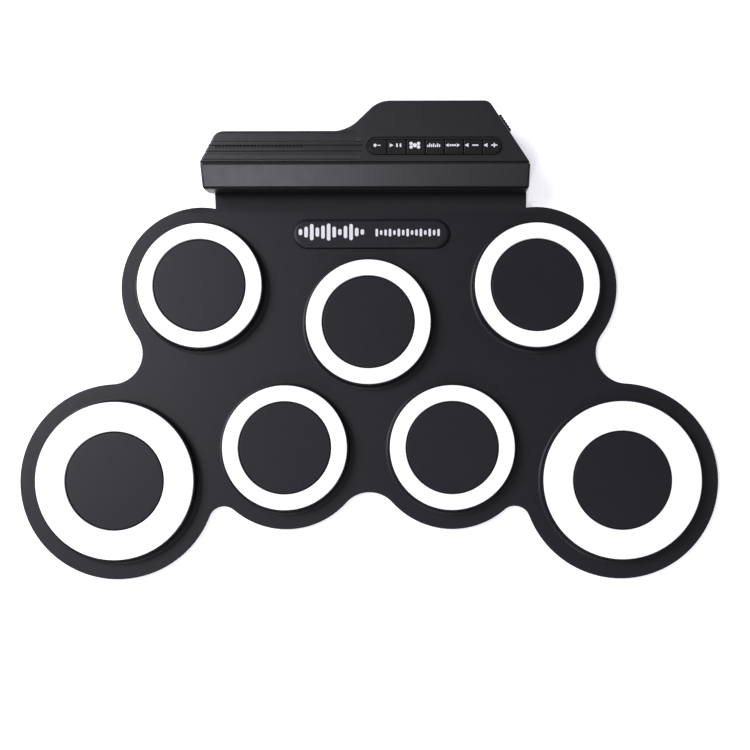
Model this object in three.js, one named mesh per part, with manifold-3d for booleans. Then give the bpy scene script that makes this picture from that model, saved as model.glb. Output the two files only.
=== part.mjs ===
// Roll-up electronic drum pad: a soft mat with seven raised playing pads, and the control
// console that the mat is clamped into.
//
// Units are millimetres. +X is the player's right, +Y points away from the player, +Z is up.
// The origin is on the table, under the middle of the object's footprint.

import * as THREE from "three";
import { mergeVertices } from "three/addons/utils/BufferGeometryUtils.js";
import Module from "manifold-3d";

const wasm = await Module();
wasm.setup();

// ---------------------------------------------------------------- driving dimensions

const GAP = 0.3; // clearance between separate pieces
const LAYER_GAP = 0.05; // clearance between bonded layers
const CUT = 1; // how far a cutter runs past the face it opens

// The mat: a thin backing and a thicker top sheet, bonded together.
const BACKING_TOP = 0.75;
const SHEET_BOTTOM = BACKING_TOP + LAYER_GAP;
const MAT_TOP = 3;
const NECK_LEFT = -99;
const NECK_RIGHT = 101.6;
const WAIST_FILLET = 20;
const NOTCH_FILLET = 10;

// The neck climbs over the console's front lip, and a narrower tongue is clamped inside.
const RAMP_START = 91.5;
const RAMP_END = 98.5;
const RAMP_RISE = 2.7;
const TONGUE_END = 108.5;
const TONGUE_HALF_WIDTH = 96;

// Raised lozenge in front of the console.
const LOZENGE = { x: 1.5, y: 73.6, length: 101.4, width: 19, height: 2.4 };

// Playing pads: a black puck with a white ring let into its top.
const PAD_TOP = 10.5;
const PAD_BOTTOM = 2;
const PAD_LIP = 0.7; // black edge outside the ring
const PAD_DRAFT = 2.1; // how far the puck widens down to the mat
const RING_DEPTH = 1.3;
const DISC_DROP = 0.6; // centre disc below the ring's top
const SENSOR_THICKNESS = 0.3;
const SENSOR_INSET = 5; // sensor radius is the ring's outer radius less this
const WELL_CLEARANCE = 0.4;
const SMALL = { outer: 39.8, inner: 29.8, lobe: 52, segments: 36 };
const LARGE = { outer: 50.4, inner: 31.7, lobe: 63, segments: 44 };
const PADS = [
  { name: "rear_left", x: -108, y: 39, size: SMALL },
  { name: "rear_right", x: 108, y: 39, size: SMALL },
  { name: "centre", x: 0, y: 15.5, size: SMALL },
  { name: "middle_left", x: -53.5, y: -65, size: SMALL },
  { name: "middle_right", x: 53.5, y: -65, size: SMALL },
  { name: "front_left", x: -162, y: -86, size: LARGE },
  { name: "front_right", x: 162, y: -86, size: LARGE },
];

// Flexible circuit between the mat's layers: thickness, and strips as [x0, x1, y0, y1] on
// the right-hand side. Strips off the centre line are mirrored to the left.
const FLEX_LOW = 0.9;
const FLEX_HIGH = 1.1;
const FLEX_TAIL_HALF = 12;
const FLEX_SLOT_SIDE = 0.4;
const FLEX_CHANNEL_TOP = 1.3;
const FLEX_CENTRE_STRIPS = [
  [-FLEX_TAIL_HALF, FLEX_TAIL_HALF, 66, 90.5],
  [-59, 59, 62, 72],
  [-5, 5, 50.9, 63],
];
const FLEX_SIDE_STRIPS = [
  [49, 59, -29.6, 63], // down to the middle pads
  [58, 72.6, 34, 44], // across to the rear pads
  [58, 127, -17, -9], // across to the front pads
  [119, 127, -57, -16],
];

// The console. Its own frame has y = 0 at its front edge.
const CONSOLE_FRONT = 97.2;
const LEFT_END = -103.4;
const RIGHT_END = 101.8;
const LOW_DEPTH = 33;
const HIGH_DEPTH = 51.8;
const WALL = 2;
const CONSOLE_TOP = 31;
const FLOOR_BOTTOM = 0.6;
const FLOOR_TOP = 2.4;
const BASE_TOP = 12;
const COVER_BOTTOM = 12.3;
const FRONT_WALL_BOTTOM = 6;
const FRONT_WALL_LEAN = 2.1; // the front wall leans out by this much on its way up
const FRONT_WALL_DEPTH = 4.4;
const LIP_START = 2.2;
const LIP_END = 5.2;
const BASE_WALL_START = 4.8;
const BEVEL_LOW = 22;
const BEVEL_RUN = 12;
const FASCIA_THICKNESS = 1.2;
const FASCIA_END_INSET = 0.8;
const FASCIA_EDGE_INSET = 0.9;
const DEEP = 60; // longer than the console is deep

// Corners of the console's plan outline, anticlockwise from the front left: x, y, radius.
// A negative radius marks the hollow corner.
const OUTLINE = [
  [LEFT_END, 0, 1.5],
  [RIGHT_END, 0, 1.5],
  [RIGHT_END, 12.8, 3],
  [76.2, HIGH_DEPTH, 6],
  [7.6, HIGH_DEPTH, 18],
  [-11.8, LOW_DEPTH, -22],
  [-93.2, LOW_DEPTH, 8],
  [LEFT_END, 13.6, 3],
];

// Moulded grooves along the console's low end.
const GROOVE = { left: -110, right: -2.5, width: 1.2, depth: 0.5, rows: [25.4, 23, 19.4, 15.5] };

// Key strip: a recess round one pill-shaped window that holds all seven keys.
const KEYS = ["record", "play", "kit", "rhythm", "tempo", "volume_down", "volume_up"];
const KEY_PITCH = 11.85;
const FIRST_KEY_X = 7.1;
const STRIP_Y = 22.6;
const STRIP_WIDTH = 11.6;
const STRIP_DEPTH = 0.8;
const WINDOW_WIDTH = 10;
const KEY_SIDE_GAP = 0.35;
const KEY_TOP = 30.8;
const KEY_FLANGE_TOP = 28.6;
const KEY_FLANGE_BOTTOM = 27.8;
const KEY_FLANGE_WIDTH = 12.6;
const KEY_PLUNGER_BOTTOM = 26.8;
const KEY_PLUNGER_SIZE = 5;
const MEMBRANE = { x0: 1, x1: 83.8, y0: 16.1, y1: 28.7, low: 25.05, high: 26 };
const KEY_BOARD = { x0: -1, x1: 84.4, y0: 15, y1: 28.9, low: 23.4, high: 25 };

// Main circuit board, with the sockets along its rear edge.
const BOARD = { low: 15.2, high: 16.8, left: -82, step: 14, right: 72.5, front: 7 };
const BOARD_LOW_REAR = 28;
const BOARD_HIGH_REAR = 47.5;
const SOCKETS = [
  { name: "phones_jack", x: 37 },
  { name: "kick_pedal_jack", x: 54 },
  { name: "hihat_pedal_jack", x: 68 },
];
const JACK = { half: 3.5, front: 37, height: 5.5, barrel: 2.8, bore: 1.8, reach: 51.6 };
const USB = { x: 24, halfWidth: 4, front: 43, height: 3.4, reach: 51.6, shell: 0.5 };

// Slim speaker under the moulded grooves, standing on the main board: pill-shaped in plan.
const SPEAKER = {
  x0: -82,
  x1: -38,
  y: 22.2,
  width: 14,
  bottom: 17.5,
  frameLow: 26.5,
  frameHigh: 28.4,
  coneDepth: 3.5,
};

// Power switch on the sloping right-hand wall, in a frame with x pointing out of the wall.
const SWITCH_ALONG = 30.5; // from the slope's front corner
const SWITCH_Z = 25;
const SWITCH_TRAVEL = 3;
const GRIP = { out: 2.3, half: 6, halfHeight: 2, ridges: 5, ridge: 0.5 };
const SWITCH_NECK = { in: -3.4, half: 2, halfHeight: 0.9 };
const SWITCH_BODY = { back: -8.5, front: -3.8, y0: -5, y1: 8, halfHeight: 2.2 };

// Battery bay in the base, closed by a door that slides out to the rear.
const BAY = { x0: 17, x1: 70, front: 15.3, wall: 1.5, top: 13.2, roof: 1.2 };
const DOOR_LEDGE = 2; // width of the rail under each edge of the door
const DOOR_LEDGE_TOP = 1.2;
const DOOR_TOP = 2.1;
const CELL = { radius: 5.25, length: 44.5, x: 43.5, z: 7.7, pitch: 10.9, first: 22.4, count: 3 };
const CONTACT = { gap: 0.5, plate: 0.6, height: 9, coilRadius: 2.2, coilLength: 1.6 };

// Fixings and feet.
const SCREWS = [
  [-88, 19],
  [-22, 19],
  [91, 16],
  [7, 39],
];
const SCREW = { head: 2.5, shaft: 1.3, headLow: 1, headHigh: 2.4, tip: 20 };
const BASE_BOSS = 3.6;
const COVER_BOSS = 3.2;
const FEET = [
  [-92, 9],
  [91, 7.5],
  [-74, 25],
  [78, 35],
];
const FOOT = { radius: 4.2, height: 1.1, pocketTop: 1.3 };
const PEGS = [-80, -30, 30, 80];
const PEG = { y: 8, radius: 1.5, top: 8 };
const CLAMP = { half: 95, y0: 5, y1: 10.8, low: 6, high: 8.4 };

// ---------------------------------------------------------------- materials

const paint = (color, roughness, metalness = 0) =>
  new THREE.MeshStandardMaterial({ color, roughness, metalness });
const MATERIAL = {
  silicone: paint(0x37363b, 0.75),
  white: paint(0xf4f4f4, 0.6),
  plastic: paint(0x35343a, 0.5),
  key: paint(0x232227, 0.45),
  rubber: paint(0x1c1c1e, 0.85),
  film: paint(0xb5762e, 0.4),
  brass: paint(0xb08d4a, 0.35, 0.9),
  board: paint(0x1f5a38, 0.5),
  steel: paint(0x9a9da2, 0.35, 0.95),
  wrap: paint(0x2d4f86, 0.35),
  chip: paint(0x17171a, 0.4),
};

// ---------------------------------------------------------------- solids and booleans

// A closed geometry as a manifold-3d solid.
function solid(geometry) {
  geometry.deleteAttribute("normal");
  geometry.deleteAttribute("uv");
  const merged = mergeVertices(geometry, 1e-4);
  const index = Array.from(merged.index.array);
  const kept = [];
  for (let i = 0; i < index.length; i += 3) {
    const [a, b, c] = index.slice(i, i + 3);
    if (a !== b && b !== c && a !== c) kept.push(a, b, c);
  }
  return new wasm.Manifold(
    new wasm.Mesh({
      numProp: 3,
      vertProperties: Float32Array.from(merged.attributes.position.array),
      triVerts: Uint32Array.from(kept),
    }),
  );
}

// A manifold-3d solid as a three.js geometry.
function geometryOf(body) {
  const mesh = body.getMesh();
  const geometry = new THREE.BufferGeometry();
  geometry.setAttribute("position", new THREE.BufferAttribute(mesh.vertProperties, 3));
  geometry.setIndex(new THREE.BufferAttribute(mesh.triVerts, 1));
  geometry.computeVertexNormals();
  return geometry;
}

const join = (bodies) => bodies.reduce((whole, body) => whole.add(body));
const cut = (body, tools) => tools.reduce((rest, tool) => rest.subtract(tool), body);

const box = (x0, x1, y0, y1, z0, z1) =>
  solid(
    new THREE.BoxGeometry(x1 - x0, y1 - y0, z1 - z0).translate(
      (x0 + x1) / 2,
      (y0 + y1) / 2,
      (z0 + z1) / 2,
    ),
  );

// A plan shape, raised from z0 to z1.
const slab = (shape, z0, z1, curveSegments = 12) =>
  solid(
    new THREE.ExtrudeGeometry(shape, {
      depth: z1 - z0,
      bevelEnabled: false,
      curveSegments,
    }).translate(0, 0, z0),
  );

// A side profile of [y, z] points, run from x0 to x1.
function run(points, x0, x1) {
  const shape = new THREE.Shape(points.map(([y, z]) => new THREE.Vector2(y, z)));
  const alongX = new THREE.Matrix4().makeBasis(
    new THREE.Vector3(0, 1, 0),
    new THREE.Vector3(0, 0, 1),
    new THREE.Vector3(1, 0, 0),
  );
  const geometry = new THREE.ExtrudeGeometry(shape, { depth: x1 - x0, bevelEnabled: false });
  return solid(geometry.applyMatrix4(alongX).translate(x0, 0, 0));
}

// A [radius, z] profile turned about the Z axis.
const turned = (profile, segments) =>
  solid(
    new THREE.LatheGeometry(
      profile.map(([r, z]) => new THREE.Vector2(r, z)),
      segments,
    ).rotateX(Math.PI / 2),
  );

const post = (x, y, radius, z0, z1, segments = 16) =>
  solid(
    new THREE.CylinderGeometry(radius, radius, z1 - z0, segments)
      .rotateX(Math.PI / 2)
      .translate(x, y, (z0 + z1) / 2),
  );

// A cylinder lying along Y.
const rod = (x, z, radius, y0, y1, segments = 16) =>
  solid(
    new THREE.CylinderGeometry(radius, radius, y1 - y0, segments).translate(
      x,
      (y0 + y1) / 2,
      z,
    ),
  );

// ---------------------------------------------------------------- outlines

// A closed polygon of [x, y, radius] corners as a shape with rounded corners.
function roundedShape(corners) {
  const shape = new THREE.Shape();
  const count = corners.length;
  corners.forEach(([x, y, signedRadius], i) => {
    const here = new THREE.Vector2(x, y);
    const [px, py] = corners[(i + count - 1) % count];
    const [nx, ny] = corners[(i + 1) % count];
    const back = new THREE.Vector2(px, py).sub(here).normalize();
    const on = new THREE.Vector2(nx, ny).sub(here).normalize();
    const half = Math.acos(back.dot(on)) / 2;
    const radius = Math.abs(signedRadius);
    const middle = back.clone().add(on).normalize();
    const centre = here.clone().addScaledVector(middle, radius / Math.sin(half));
    const tangent = radius / Math.tan(half);
    const from = here.clone().addScaledVector(back, tangent).sub(centre).angle();
    const to = here.clone().addScaledVector(on, tangent).sub(centre).angle();
    shape.absarc(centre.x, centre.y, radius, from, to, signedRadius < 0);
  });
  return shape;
}

// The same corners with every edge moved inwards by a distance.
function insetCorners(corners, distance) {
  const count = corners.length;
  const edges = corners.map(([x, y], i) => {
    const [nx, ny] = corners[(i + 1) % count];
    const along = new THREE.Vector2(nx - x, ny - y).normalize();
    const inwards = new THREE.Vector2(-along.y, along.x);
    return { along, start: new THREE.Vector2(x, y).addScaledVector(inwards, distance) };
  });
  return corners.map(([, , radius], i) => {
    const a = edges[(i + count - 1) % count];
    const b = edges[i];
    const reach = b.start.clone().sub(a.start).cross(b.along) / a.along.cross(b.along);
    const corner = a.start.clone().addScaledVector(a.along, reach);
    return [corner.x, corner.y, radius < 0 ? radius - distance : Math.max(radius - distance, 0.3)];
  });
}

// A pill: a rectangle with fully round ends.
function pill(x0, x1, y, width) {
  const radius = width / 2;
  const shape = new THREE.Shape();
  shape.absarc(x1 - radius, y, radius, -Math.PI / 2, Math.PI / 2);
  shape.absarc(x0 + radius, y, radius, Math.PI / 2, (3 * Math.PI) / 2);
  return shape;
}

// Centre of the fillet that touches two lobes from outside, to the right of the line a to b.
function filletCentre(a, b, fillet) {
  const ra = a.size.lobe + fillet;
  const rb = b.size.lobe + fillet;
  const between = new THREE.Vector2(b.x - a.x, b.y - a.y);
  const span = between.length();
  const along = (span * span + ra * ra - rb * rb) / (2 * span);
  const aside = Math.sqrt(ra * ra - along * along);
  between.normalize();
  return new THREE.Vector2(
    a.x + between.x * along + between.y * aside,
    a.y + between.y * along - between.x * aside,
  );
}

// The right half of the mat's flat outline, from the front notch round to a neck that
// reaches out to neckEdge: lobes joined by fillets.
function halfOutline(neckEdge) {
  const pad = (name) => PADS.find((p) => p.name === name);
  const lobes = [pad("middle_left"), pad("middle_right"), pad("front_right"), pad("rear_right")];
  const fillets = [WAIST_FILLET, NOTCH_FILLET, WAIST_FILLET];
  const half = new THREE.Path();
  fillets.forEach((radius, i) => {
    const [before, lobe] = [lobes[i], lobes[i + 1]];
    const c = filletCentre(before, lobe, radius);
    const angle = (to) => Math.atan2(to.y - c.y, to.x - c.x);
    half.absarc(c.x, c.y, radius, i ? angle(before) : Math.PI / 2, angle(lobe), true);
    const start = angle(lobe) + Math.PI;
    const next = lobes[i + 2];
    let end = Math.acos((neckEdge - lobe.x) / lobe.size.lobe);
    if (next) {
      const n = filletCentre(lobe, next, fillets[i + 1]);
      end = Math.atan2(n.y - lobe.y, n.x - lobe.x);
    }
    half.absarc(lobe.x, lobe.y, lobe.size.lobe, start, end, false);
  });
  return [...half.getPoints(16), new THREE.Vector2(neckEdge, RAMP_START)];
}

// The mat's flat outline. Its left half is the right one mirrored, but for the neck's edge.
function matShape() {
  const left = halfOutline(-NECK_LEFT)
    .slice(1)
    .reverse()
    .map((p) => new THREE.Vector2(-p.x, p.y));
  return new THREE.Shape([...halfOutline(NECK_RIGHT), ...left]);
}

// A layer of the neck between two heights: flat, up the ramp, and flat inside the console.
const neckLayer = (low, high, left, right, start, end) =>
  run(
    [
      [start, low],
      [RAMP_START, low],
      [RAMP_END, low + RAMP_RISE],
      [end, low + RAMP_RISE],
      [end, high + RAMP_RISE],
      [RAMP_END, high + RAMP_RISE],
      [RAMP_START, high],
      [start, high],
    ],
    left,
    right,
  );

// ---------------------------------------------------------------- mat

// The mat's whole plan at a pair of heights, with its neck and its narrower tongue.
function matLayer(low, high) {
  const flat = slab(matShape(), low, high, 1);
  const neck = neckLayer(low, high, NECK_LEFT, NECK_RIGHT, RAMP_START - CUT, RAMP_END + 0.1);
  const [start, half] = [RAMP_START - CUT, TONGUE_HALF_WIDTH];
  const tongue = neckLayer(low, high, -half, half, start, TONGUE_END);
  const holes = PEGS.map((x) =>
    post(x, CONSOLE_FRONT + PEG.y, PEG.radius + WELL_CLEARANCE, 0, PEG.top, 12),
  );
  return cut(join([flat, neck, tongue]), holes);
}

// The flexible circuit's strips, grown sideways by a margin.
function flexStrips(low, high, margin) {
  const mirrored = FLEX_SIDE_STRIPS.map(([x0, x1, y0, y1]) => [-x1, -x0, y0, y1]);
  return join(
    [...FLEX_CENTRE_STRIPS, ...FLEX_SIDE_STRIPS, ...mirrored].map(([x0, x1, y0, y1]) =>
      box(x0 - margin, x1 + margin, y0 - margin, y1 + margin, low, high),
    ),
  );
}

function matSheet() {
  const lozenge = slab(
    pill(LOZENGE.x - LOZENGE.length / 2, LOZENGE.x + LOZENGE.length / 2, LOZENGE.y, LOZENGE.width),
    MAT_TOP - CUT,
    MAT_TOP + LOZENGE.height,
    8,
  );
  const wells = PADS.map(({ x, y, size }) =>
    post(x, y, wellRadius(size), 0, MAT_TOP + CUT, size.segments),
  );
  const channel = flexStrips(0, FLEX_CHANNEL_TOP, FLEX_SLOT_SIDE);
  const tailHalf = FLEX_TAIL_HALF + FLEX_SLOT_SIDE;
  const tail = neckLayer(
    0,
    FLEX_CHANNEL_TOP,
    -tailHalf,
    tailHalf,
    RAMP_START - 2 * CUT,
    TONGUE_END + CUT,
  );
  return cut(matLayer(SHEET_BOTTOM, MAT_TOP).add(lozenge), [...wells, channel, tail]);
}

const matBacking = () => matLayer(0, BACKING_TOP);

function flexCircuit() {
  const turn = CONSOLE_FRONT + 13;
  const start = RAMP_START - 2 * CUT;
  const tail = neckLayer(FLEX_LOW, FLEX_HIGH, -FLEX_TAIL_HALF, FLEX_TAIL_HALF, start, turn);
  const riser = box(
    -FLEX_TAIL_HALF,
    FLEX_TAIL_HALF,
    turn - (FLEX_HIGH - FLEX_LOW),
    turn,
    FLEX_LOW + RAMP_RISE,
    BOARD.low - 0.7,
  );
  return join([flexStrips(FLEX_LOW, FLEX_HIGH, 0), tail, riser]);
}

// ---------------------------------------------------------------- playing pads

const puckRadius = (size) => size.outer + PAD_LIP + PAD_DRAFT;
const wellRadius = (size) => puckRadius(size) + WELL_CLEARANCE;

function puck(size) {
  const rim = size.outer + GAP;
  const discTop = PAD_TOP - DISC_DROP;
  const pocket = PAD_TOP - RING_DEPTH - GAP;
  return turned(
    [
      [0, PAD_BOTTOM],
      [puckRadius(size), PAD_BOTTOM],
      [puckRadius(size), MAT_TOP],
      [size.outer + PAD_LIP, PAD_TOP - GAP],
      [rim, PAD_TOP - GAP],
      [rim, pocket],
      [size.inner - GAP, pocket],
      [size.inner - GAP, discTop],
      [0, discTop],
    ],
    size.segments,
  );
}

function ring(size) {
  const low = PAD_TOP - RING_DEPTH;
  return turned(
    [
      [size.inner, low],
      [size.outer, low],
      [size.outer, PAD_TOP],
      [size.inner, PAD_TOP],
      [size.inner, low],
    ],
    size.segments,
  );
}

const sensor = (size) =>
  post(
    0,
    0,
    size.outer - SENSOR_INSET,
    SHEET_BOTTOM,
    SHEET_BOTTOM + SENSOR_THICKNESS,
    size.segments,
  );

// ---------------------------------------------------------------- console shells

const consolePlan = (inset, z0, z1) => {
  const corners = inset ? insetCorners(OUTLINE, inset) : OUTLINE;
  return slab(roundedShape(corners), z0, z1, 6);
};

// Unit vectors of the bevel in the side view: up its slope, and out of its face.
const bevelRise = CONSOLE_TOP - BEVEL_LOW;
const bevelLength = Math.hypot(BEVEL_RUN, bevelRise);
const bevelUp = [BEVEL_RUN / bevelLength, bevelRise / bevelLength];
const bevelOut = [-bevelUp[1], bevelUp[0]];
// A point of the side view, from a distance up the bevel and a depth under its face.
const onBevel = (up, depth) => [
  up * bevelUp[0] - depth * bevelOut[0],
  BEVEL_LOW + up * bevelUp[1] - depth * bevelOut[1],
];

function coverShell() {
  const outside = run(
    [
      [FRONT_WALL_LEAN, FRONT_WALL_BOTTOM],
      [FRONT_WALL_DEPTH, FRONT_WALL_BOTTOM],
      [FRONT_WALL_DEPTH, COVER_BOTTOM],
      [DEEP, COVER_BOTTOM],
      [DEEP, CONSOLE_TOP],
      [BEVEL_RUN, CONSOLE_TOP],
      [0, BEVEL_LOW],
    ],
    LEFT_END - CUT,
    RIGHT_END + CUT,
  );
  const underBevel = WALL + FASCIA_THICKNESS + GAP;
  const innerLow = onBevel(1.2, underBevel);
  const innerHigh = onBevel(bevelLength + 1.2, underBevel);
  const inside = run(
    [
      [FRONT_WALL_LEAN + WALL, FRONT_WALL_BOTTOM - CUT],
      [DEEP, FRONT_WALL_BOTTOM - CUT],
      [DEEP, CONSOLE_TOP - WALL],
      [innerHigh[0], CONSOLE_TOP - WALL],
      innerLow,
    ],
    LEFT_END,
    RIGHT_END,
  );
  const outer = consolePlan(0, 0, CONSOLE_TOP + CUT).intersect(outside);
  const inner = consolePlan(WALL, 0, CONSOLE_TOP).intersect(inside);
  return outer.subtract(inner);
}

// The strip let into the bevel, or the recess for it when grown by a margin.
const fasciaBody = (thickness, margin) =>
  run(
    [
      onBevel(FASCIA_EDGE_INSET - margin, -margin),
      onBevel(FASCIA_EDGE_INSET - margin, thickness + margin),
      onBevel(bevelLength - FASCIA_EDGE_INSET + margin, thickness + margin),
      onBevel(bevelLength - FASCIA_EDGE_INSET + margin, -margin),
    ].reverse(),
    LEFT_END + FASCIA_END_INSET - margin,
    RIGHT_END - FASCIA_END_INSET + margin,
  );

const stripLeft = FIRST_KEY_X - KEY_PITCH / 2 - 0.8;
const stripRight = FIRST_KEY_X + KEY_PITCH * (KEYS.length - 0.5) + 0.8;

// A plan frame on the sloping right-hand wall: x out of the wall, y along it to the rear.
const slopeStart = new THREE.Vector2(OUTLINE[2][0], OUTLINE[2][1]);
const slopeEnd = new THREE.Vector2(OUTLINE[3][0], OUTLINE[3][1]);
const slopeAlong = slopeEnd.clone().sub(slopeStart).normalize();
const slopeTurn = Math.atan2(-slopeAlong.x, slopeAlong.y);
const switchPlace = slopeStart.clone().addScaledVector(slopeAlong, SWITCH_ALONG);

function topCover() {
  const bosses = SCREWS.map(([x, y]) => post(x, y, COVER_BOSS, BASE_TOP, CONSOLE_TOP - CUT));
  const pilots = SCREWS.map(([x, y]) =>
    post(x, y, SCREW.shaft + GAP, BASE_TOP - CUT, SCREW.tip + CUT, 12),
  );
  const recess = slab(
    pill(stripLeft, stripRight, STRIP_Y, STRIP_WIDTH),
    CONSOLE_TOP - STRIP_DEPTH,
    CONSOLE_TOP + CUT,
  );
  const step = (STRIP_WIDTH - WINDOW_WIDTH) / 2;
  const window = slab(
    pill(stripLeft + step, stripRight - step, STRIP_Y, WINDOW_WIDTH),
    CONSOLE_TOP - WALL - CUT,
    CONSOLE_TOP + CUT,
  );
  const grooves = GROOVE.rows.map((y) =>
    box(
      GROOVE.left,
      GROOVE.right,
      y - GROOVE.width / 2,
      y + GROOVE.width / 2,
      CONSOLE_TOP - GROOVE.depth,
      CONSOLE_TOP + CUT,
    ),
  );
  const ports = SOCKETS.map(({ x }) =>
    rod(x, jackAxis, JACK.barrel + GAP, HIGH_DEPTH - WALL - CUT, HIGH_DEPTH + CUT),
  );
  const usbPort = box(
    USB.x - USB.halfWidth - GAP,
    USB.x + USB.halfWidth + GAP,
    HIGH_DEPTH - WALL - CUT,
    HIGH_DEPTH + CUT,
    BOARD.high + LAYER_GAP - GAP,
    BOARD.high + LAYER_GAP + USB.height + GAP,
  );
  const slot = box(
    -WALL - CUT,
    CUT,
    -SWITCH_NECK.half - GAP,
    SWITCH_NECK.half + SWITCH_TRAVEL + GAP,
    -SWITCH_NECK.halfHeight - GAP,
    SWITCH_NECK.halfHeight + GAP,
  )
    .rotate([0, 0, THREE.MathUtils.radToDeg(slopeTurn)])
    .translate([switchPlace.x, switchPlace.y, SWITCH_Z]);
  return cut(join([coverShell(), ...bosses]), [
    ...pilots,
    recess,
    window,
    ...grooves,
    ...ports,
    usbPort,
    slot,
    fasciaBody(FASCIA_THICKNESS, GAP),
  ]);
}

const frontFascia = () => fasciaBody(FASCIA_THICKNESS, 0);

function baseShell() {
  const wallBlock = box(
    LEFT_END - CUT,
    RIGHT_END + CUT,
    BASE_WALL_START,
    DEEP,
    FLOOR_BOTTOM,
    BASE_TOP,
  );
  const tray = consolePlan(0, FLOOR_BOTTOM, BASE_TOP)
    .intersect(wallBlock)
    .subtract(consolePlan(WALL, FLOOR_TOP, BASE_TOP + CUT));
  const lip = consolePlan(0, FLOOR_BOTTOM, FLOOR_TOP).intersect(
    box(LEFT_END, RIGHT_END, LIP_START, LIP_END, 0, BASE_TOP),
  );
  const cheekInner = TONGUE_HALF_WIDTH + 0.5;
  const cheekSpans = [
    [LEFT_END, -cheekInner],
    [cheekInner, RIGHT_END],
  ];
  const cheeks = cheekSpans.map(([x0, x1]) =>
    box(x0, x1, LIP_START, LIP_END, FLOOR_BOTTOM, FRONT_WALL_BOTTOM - GAP),
  );
  const bosses = SCREWS.map(([x, y]) => post(x, y, BASE_BOSS, FLOOR_BOTTOM, BASE_TOP - GAP));
  const pegs = PEGS.map((x) => post(x, PEG.y, PEG.radius, FLOOR_BOTTOM, PEG.top, 12));
  const screwHoles = SCREWS.flatMap(([x, y]) => [
    post(x, y, SCREW.head + GAP, 0, SCREW.headHigh + GAP),
    post(x, y, SCREW.shaft + GAP, 0, BASE_TOP + CUT, 12),
  ]);
  const footPockets = FEET.map(([x, y]) => post(x, y, FOOT.radius + GAP, 0, FOOT.pocketTop, 20));
  return cut(join([tray, lip, ...cheeks, ...bosses, ...pegs, bayWalls()]), [
    ...screwHoles,
    ...footPockets,
    ...doorwayCutters(),
  ]);
}

// ---------------------------------------------------------------- battery bay

// Walls and roof round the cells, open below to the door and behind to the rear wall.
function bayWalls() {
  const rear = HIGH_DEPTH - WALL - GAP;
  const outer = box(
    BAY.x0 - CUT - BAY.wall,
    BAY.x1 + CUT + BAY.wall,
    BAY.front - BAY.wall,
    rear,
    FLOOR_BOTTOM,
    BAY.top + BAY.roof,
  );
  const inner = box(BAY.x0 - CUT, BAY.x1 + CUT, BAY.front, DEEP, FLOOR_TOP, BAY.top);
  return outer.subtract(inner);
}

// The doorway: narrow between the two rails, wide above them.
const doorwayCutters = () => [
  box(BAY.x0 + DOOR_LEDGE, BAY.x1 - DOOR_LEDGE, BAY.front, DEEP, 0, FLOOR_TOP + CUT),
  box(BAY.x0, BAY.x1, BAY.front, DEEP, DOOR_LEDGE_TOP, FLOOR_TOP),
];

function batteryDoor() {
  const front = BAY.front + GAP;
  const rear = HIGH_DEPTH - GAP;
  const side = DOOR_LEDGE + GAP;
  const panel = box(BAY.x0 + side, BAY.x1 - side, front, rear, FLOOR_BOTTOM, DOOR_TOP);
  const flange = box(
    BAY.x0 + GAP,
    BAY.x1 - GAP,
    front,
    rear,
    DOOR_LEDGE_TOP + GAP,
    DOOR_TOP,
  );
  const gripLines = [0, 1, 2].map((i) =>
    box(CELL.x - 8, CELL.x + 8, rear - 5 - 2 * i, rear - 4 - 2 * i, 0, FLOOR_BOTTOM + 0.4),
  );
  return cut(panel.add(flange), gripLines);
}

function batteryCell() {
  const half = CELL.length / 2;
  const nub = 1;
  return turned(
    [
      [0, -half],
      [CELL.radius, -half],
      [CELL.radius, half - nub],
      [1.9, half - nub],
      [1.9, half],
      [0, half],
    ],
    20,
  );
}

// A sheet-metal strip across one end of the three cells, with a coil for each.
function contactStrip(side) {
  const x = CELL.x + side * (CELL.length / 2 + CONTACT.gap + CONTACT.coilLength);
  const low = CELL.z - CONTACT.height / 2;
  const rear = CELL.first + CELL.pitch * (CELL.count - 1);
  const plate = box(
    Math.min(x, x + side * CONTACT.plate),
    Math.max(x, x + side * CONTACT.plate),
    CELL.first - 4,
    rear + 4,
    low,
    low + CONTACT.height,
  );
  const coils = Array.from({ length: CELL.count }, (_, i) => {
    const coil = new THREE.CylinderGeometry(
      CONTACT.coilRadius,
      CONTACT.coilRadius,
      CONTACT.coilLength + 0.2,
      12,
    )
      .rotateZ(Math.PI / 2)
      .translate(
        x - side * (CONTACT.coilLength / 2 - 0.1),
        CELL.first + CELL.pitch * i,
        CELL.z,
      );
    return solid(coil);
  });
  return join([plate, ...coils]);
}

// ---------------------------------------------------------------- console internals

const boardFace = BOARD.high + LAYER_GAP;
const jackAxis = boardFace + JACK.height / 2;

function mainBoard() {
  const shape = new THREE.Shape(
    [
      [BOARD.left, BOARD.front],
      [BOARD.right, BOARD.front],
      [BOARD.right, BOARD_HIGH_REAR],
      [BOARD.step, BOARD_HIGH_REAR],
      [BOARD.step, BOARD_LOW_REAR],
      [BOARD.left, BOARD_LOW_REAR],
    ].map(([x, y]) => new THREE.Vector2(x, y)),
  );
  const bossHoles = SCREWS.map(([x, y]) => post(x, y, COVER_BOSS + 0.6, 0, CONSOLE_TOP));
  return cut(slab(shape, BOARD.low, BOARD.high), bossHoles);
}

const plate = ({ x0, x1, y0, y1, low, high }) => box(x0, x1, y0, y1, low, high);

function jack(x) {
  const body = box(
    x - JACK.half,
    x + JACK.half,
    JACK.front,
    HIGH_DEPTH - WALL - GAP,
    boardFace,
    boardFace + JACK.height,
  );
  const barrel = rod(x, jackAxis, JACK.barrel, JACK.front + 5, JACK.reach);
  const bore = rod(x, jackAxis, JACK.bore, JACK.front + 2, JACK.reach + CUT, 12);
  return body.add(barrel).subtract(bore);
}

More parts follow.
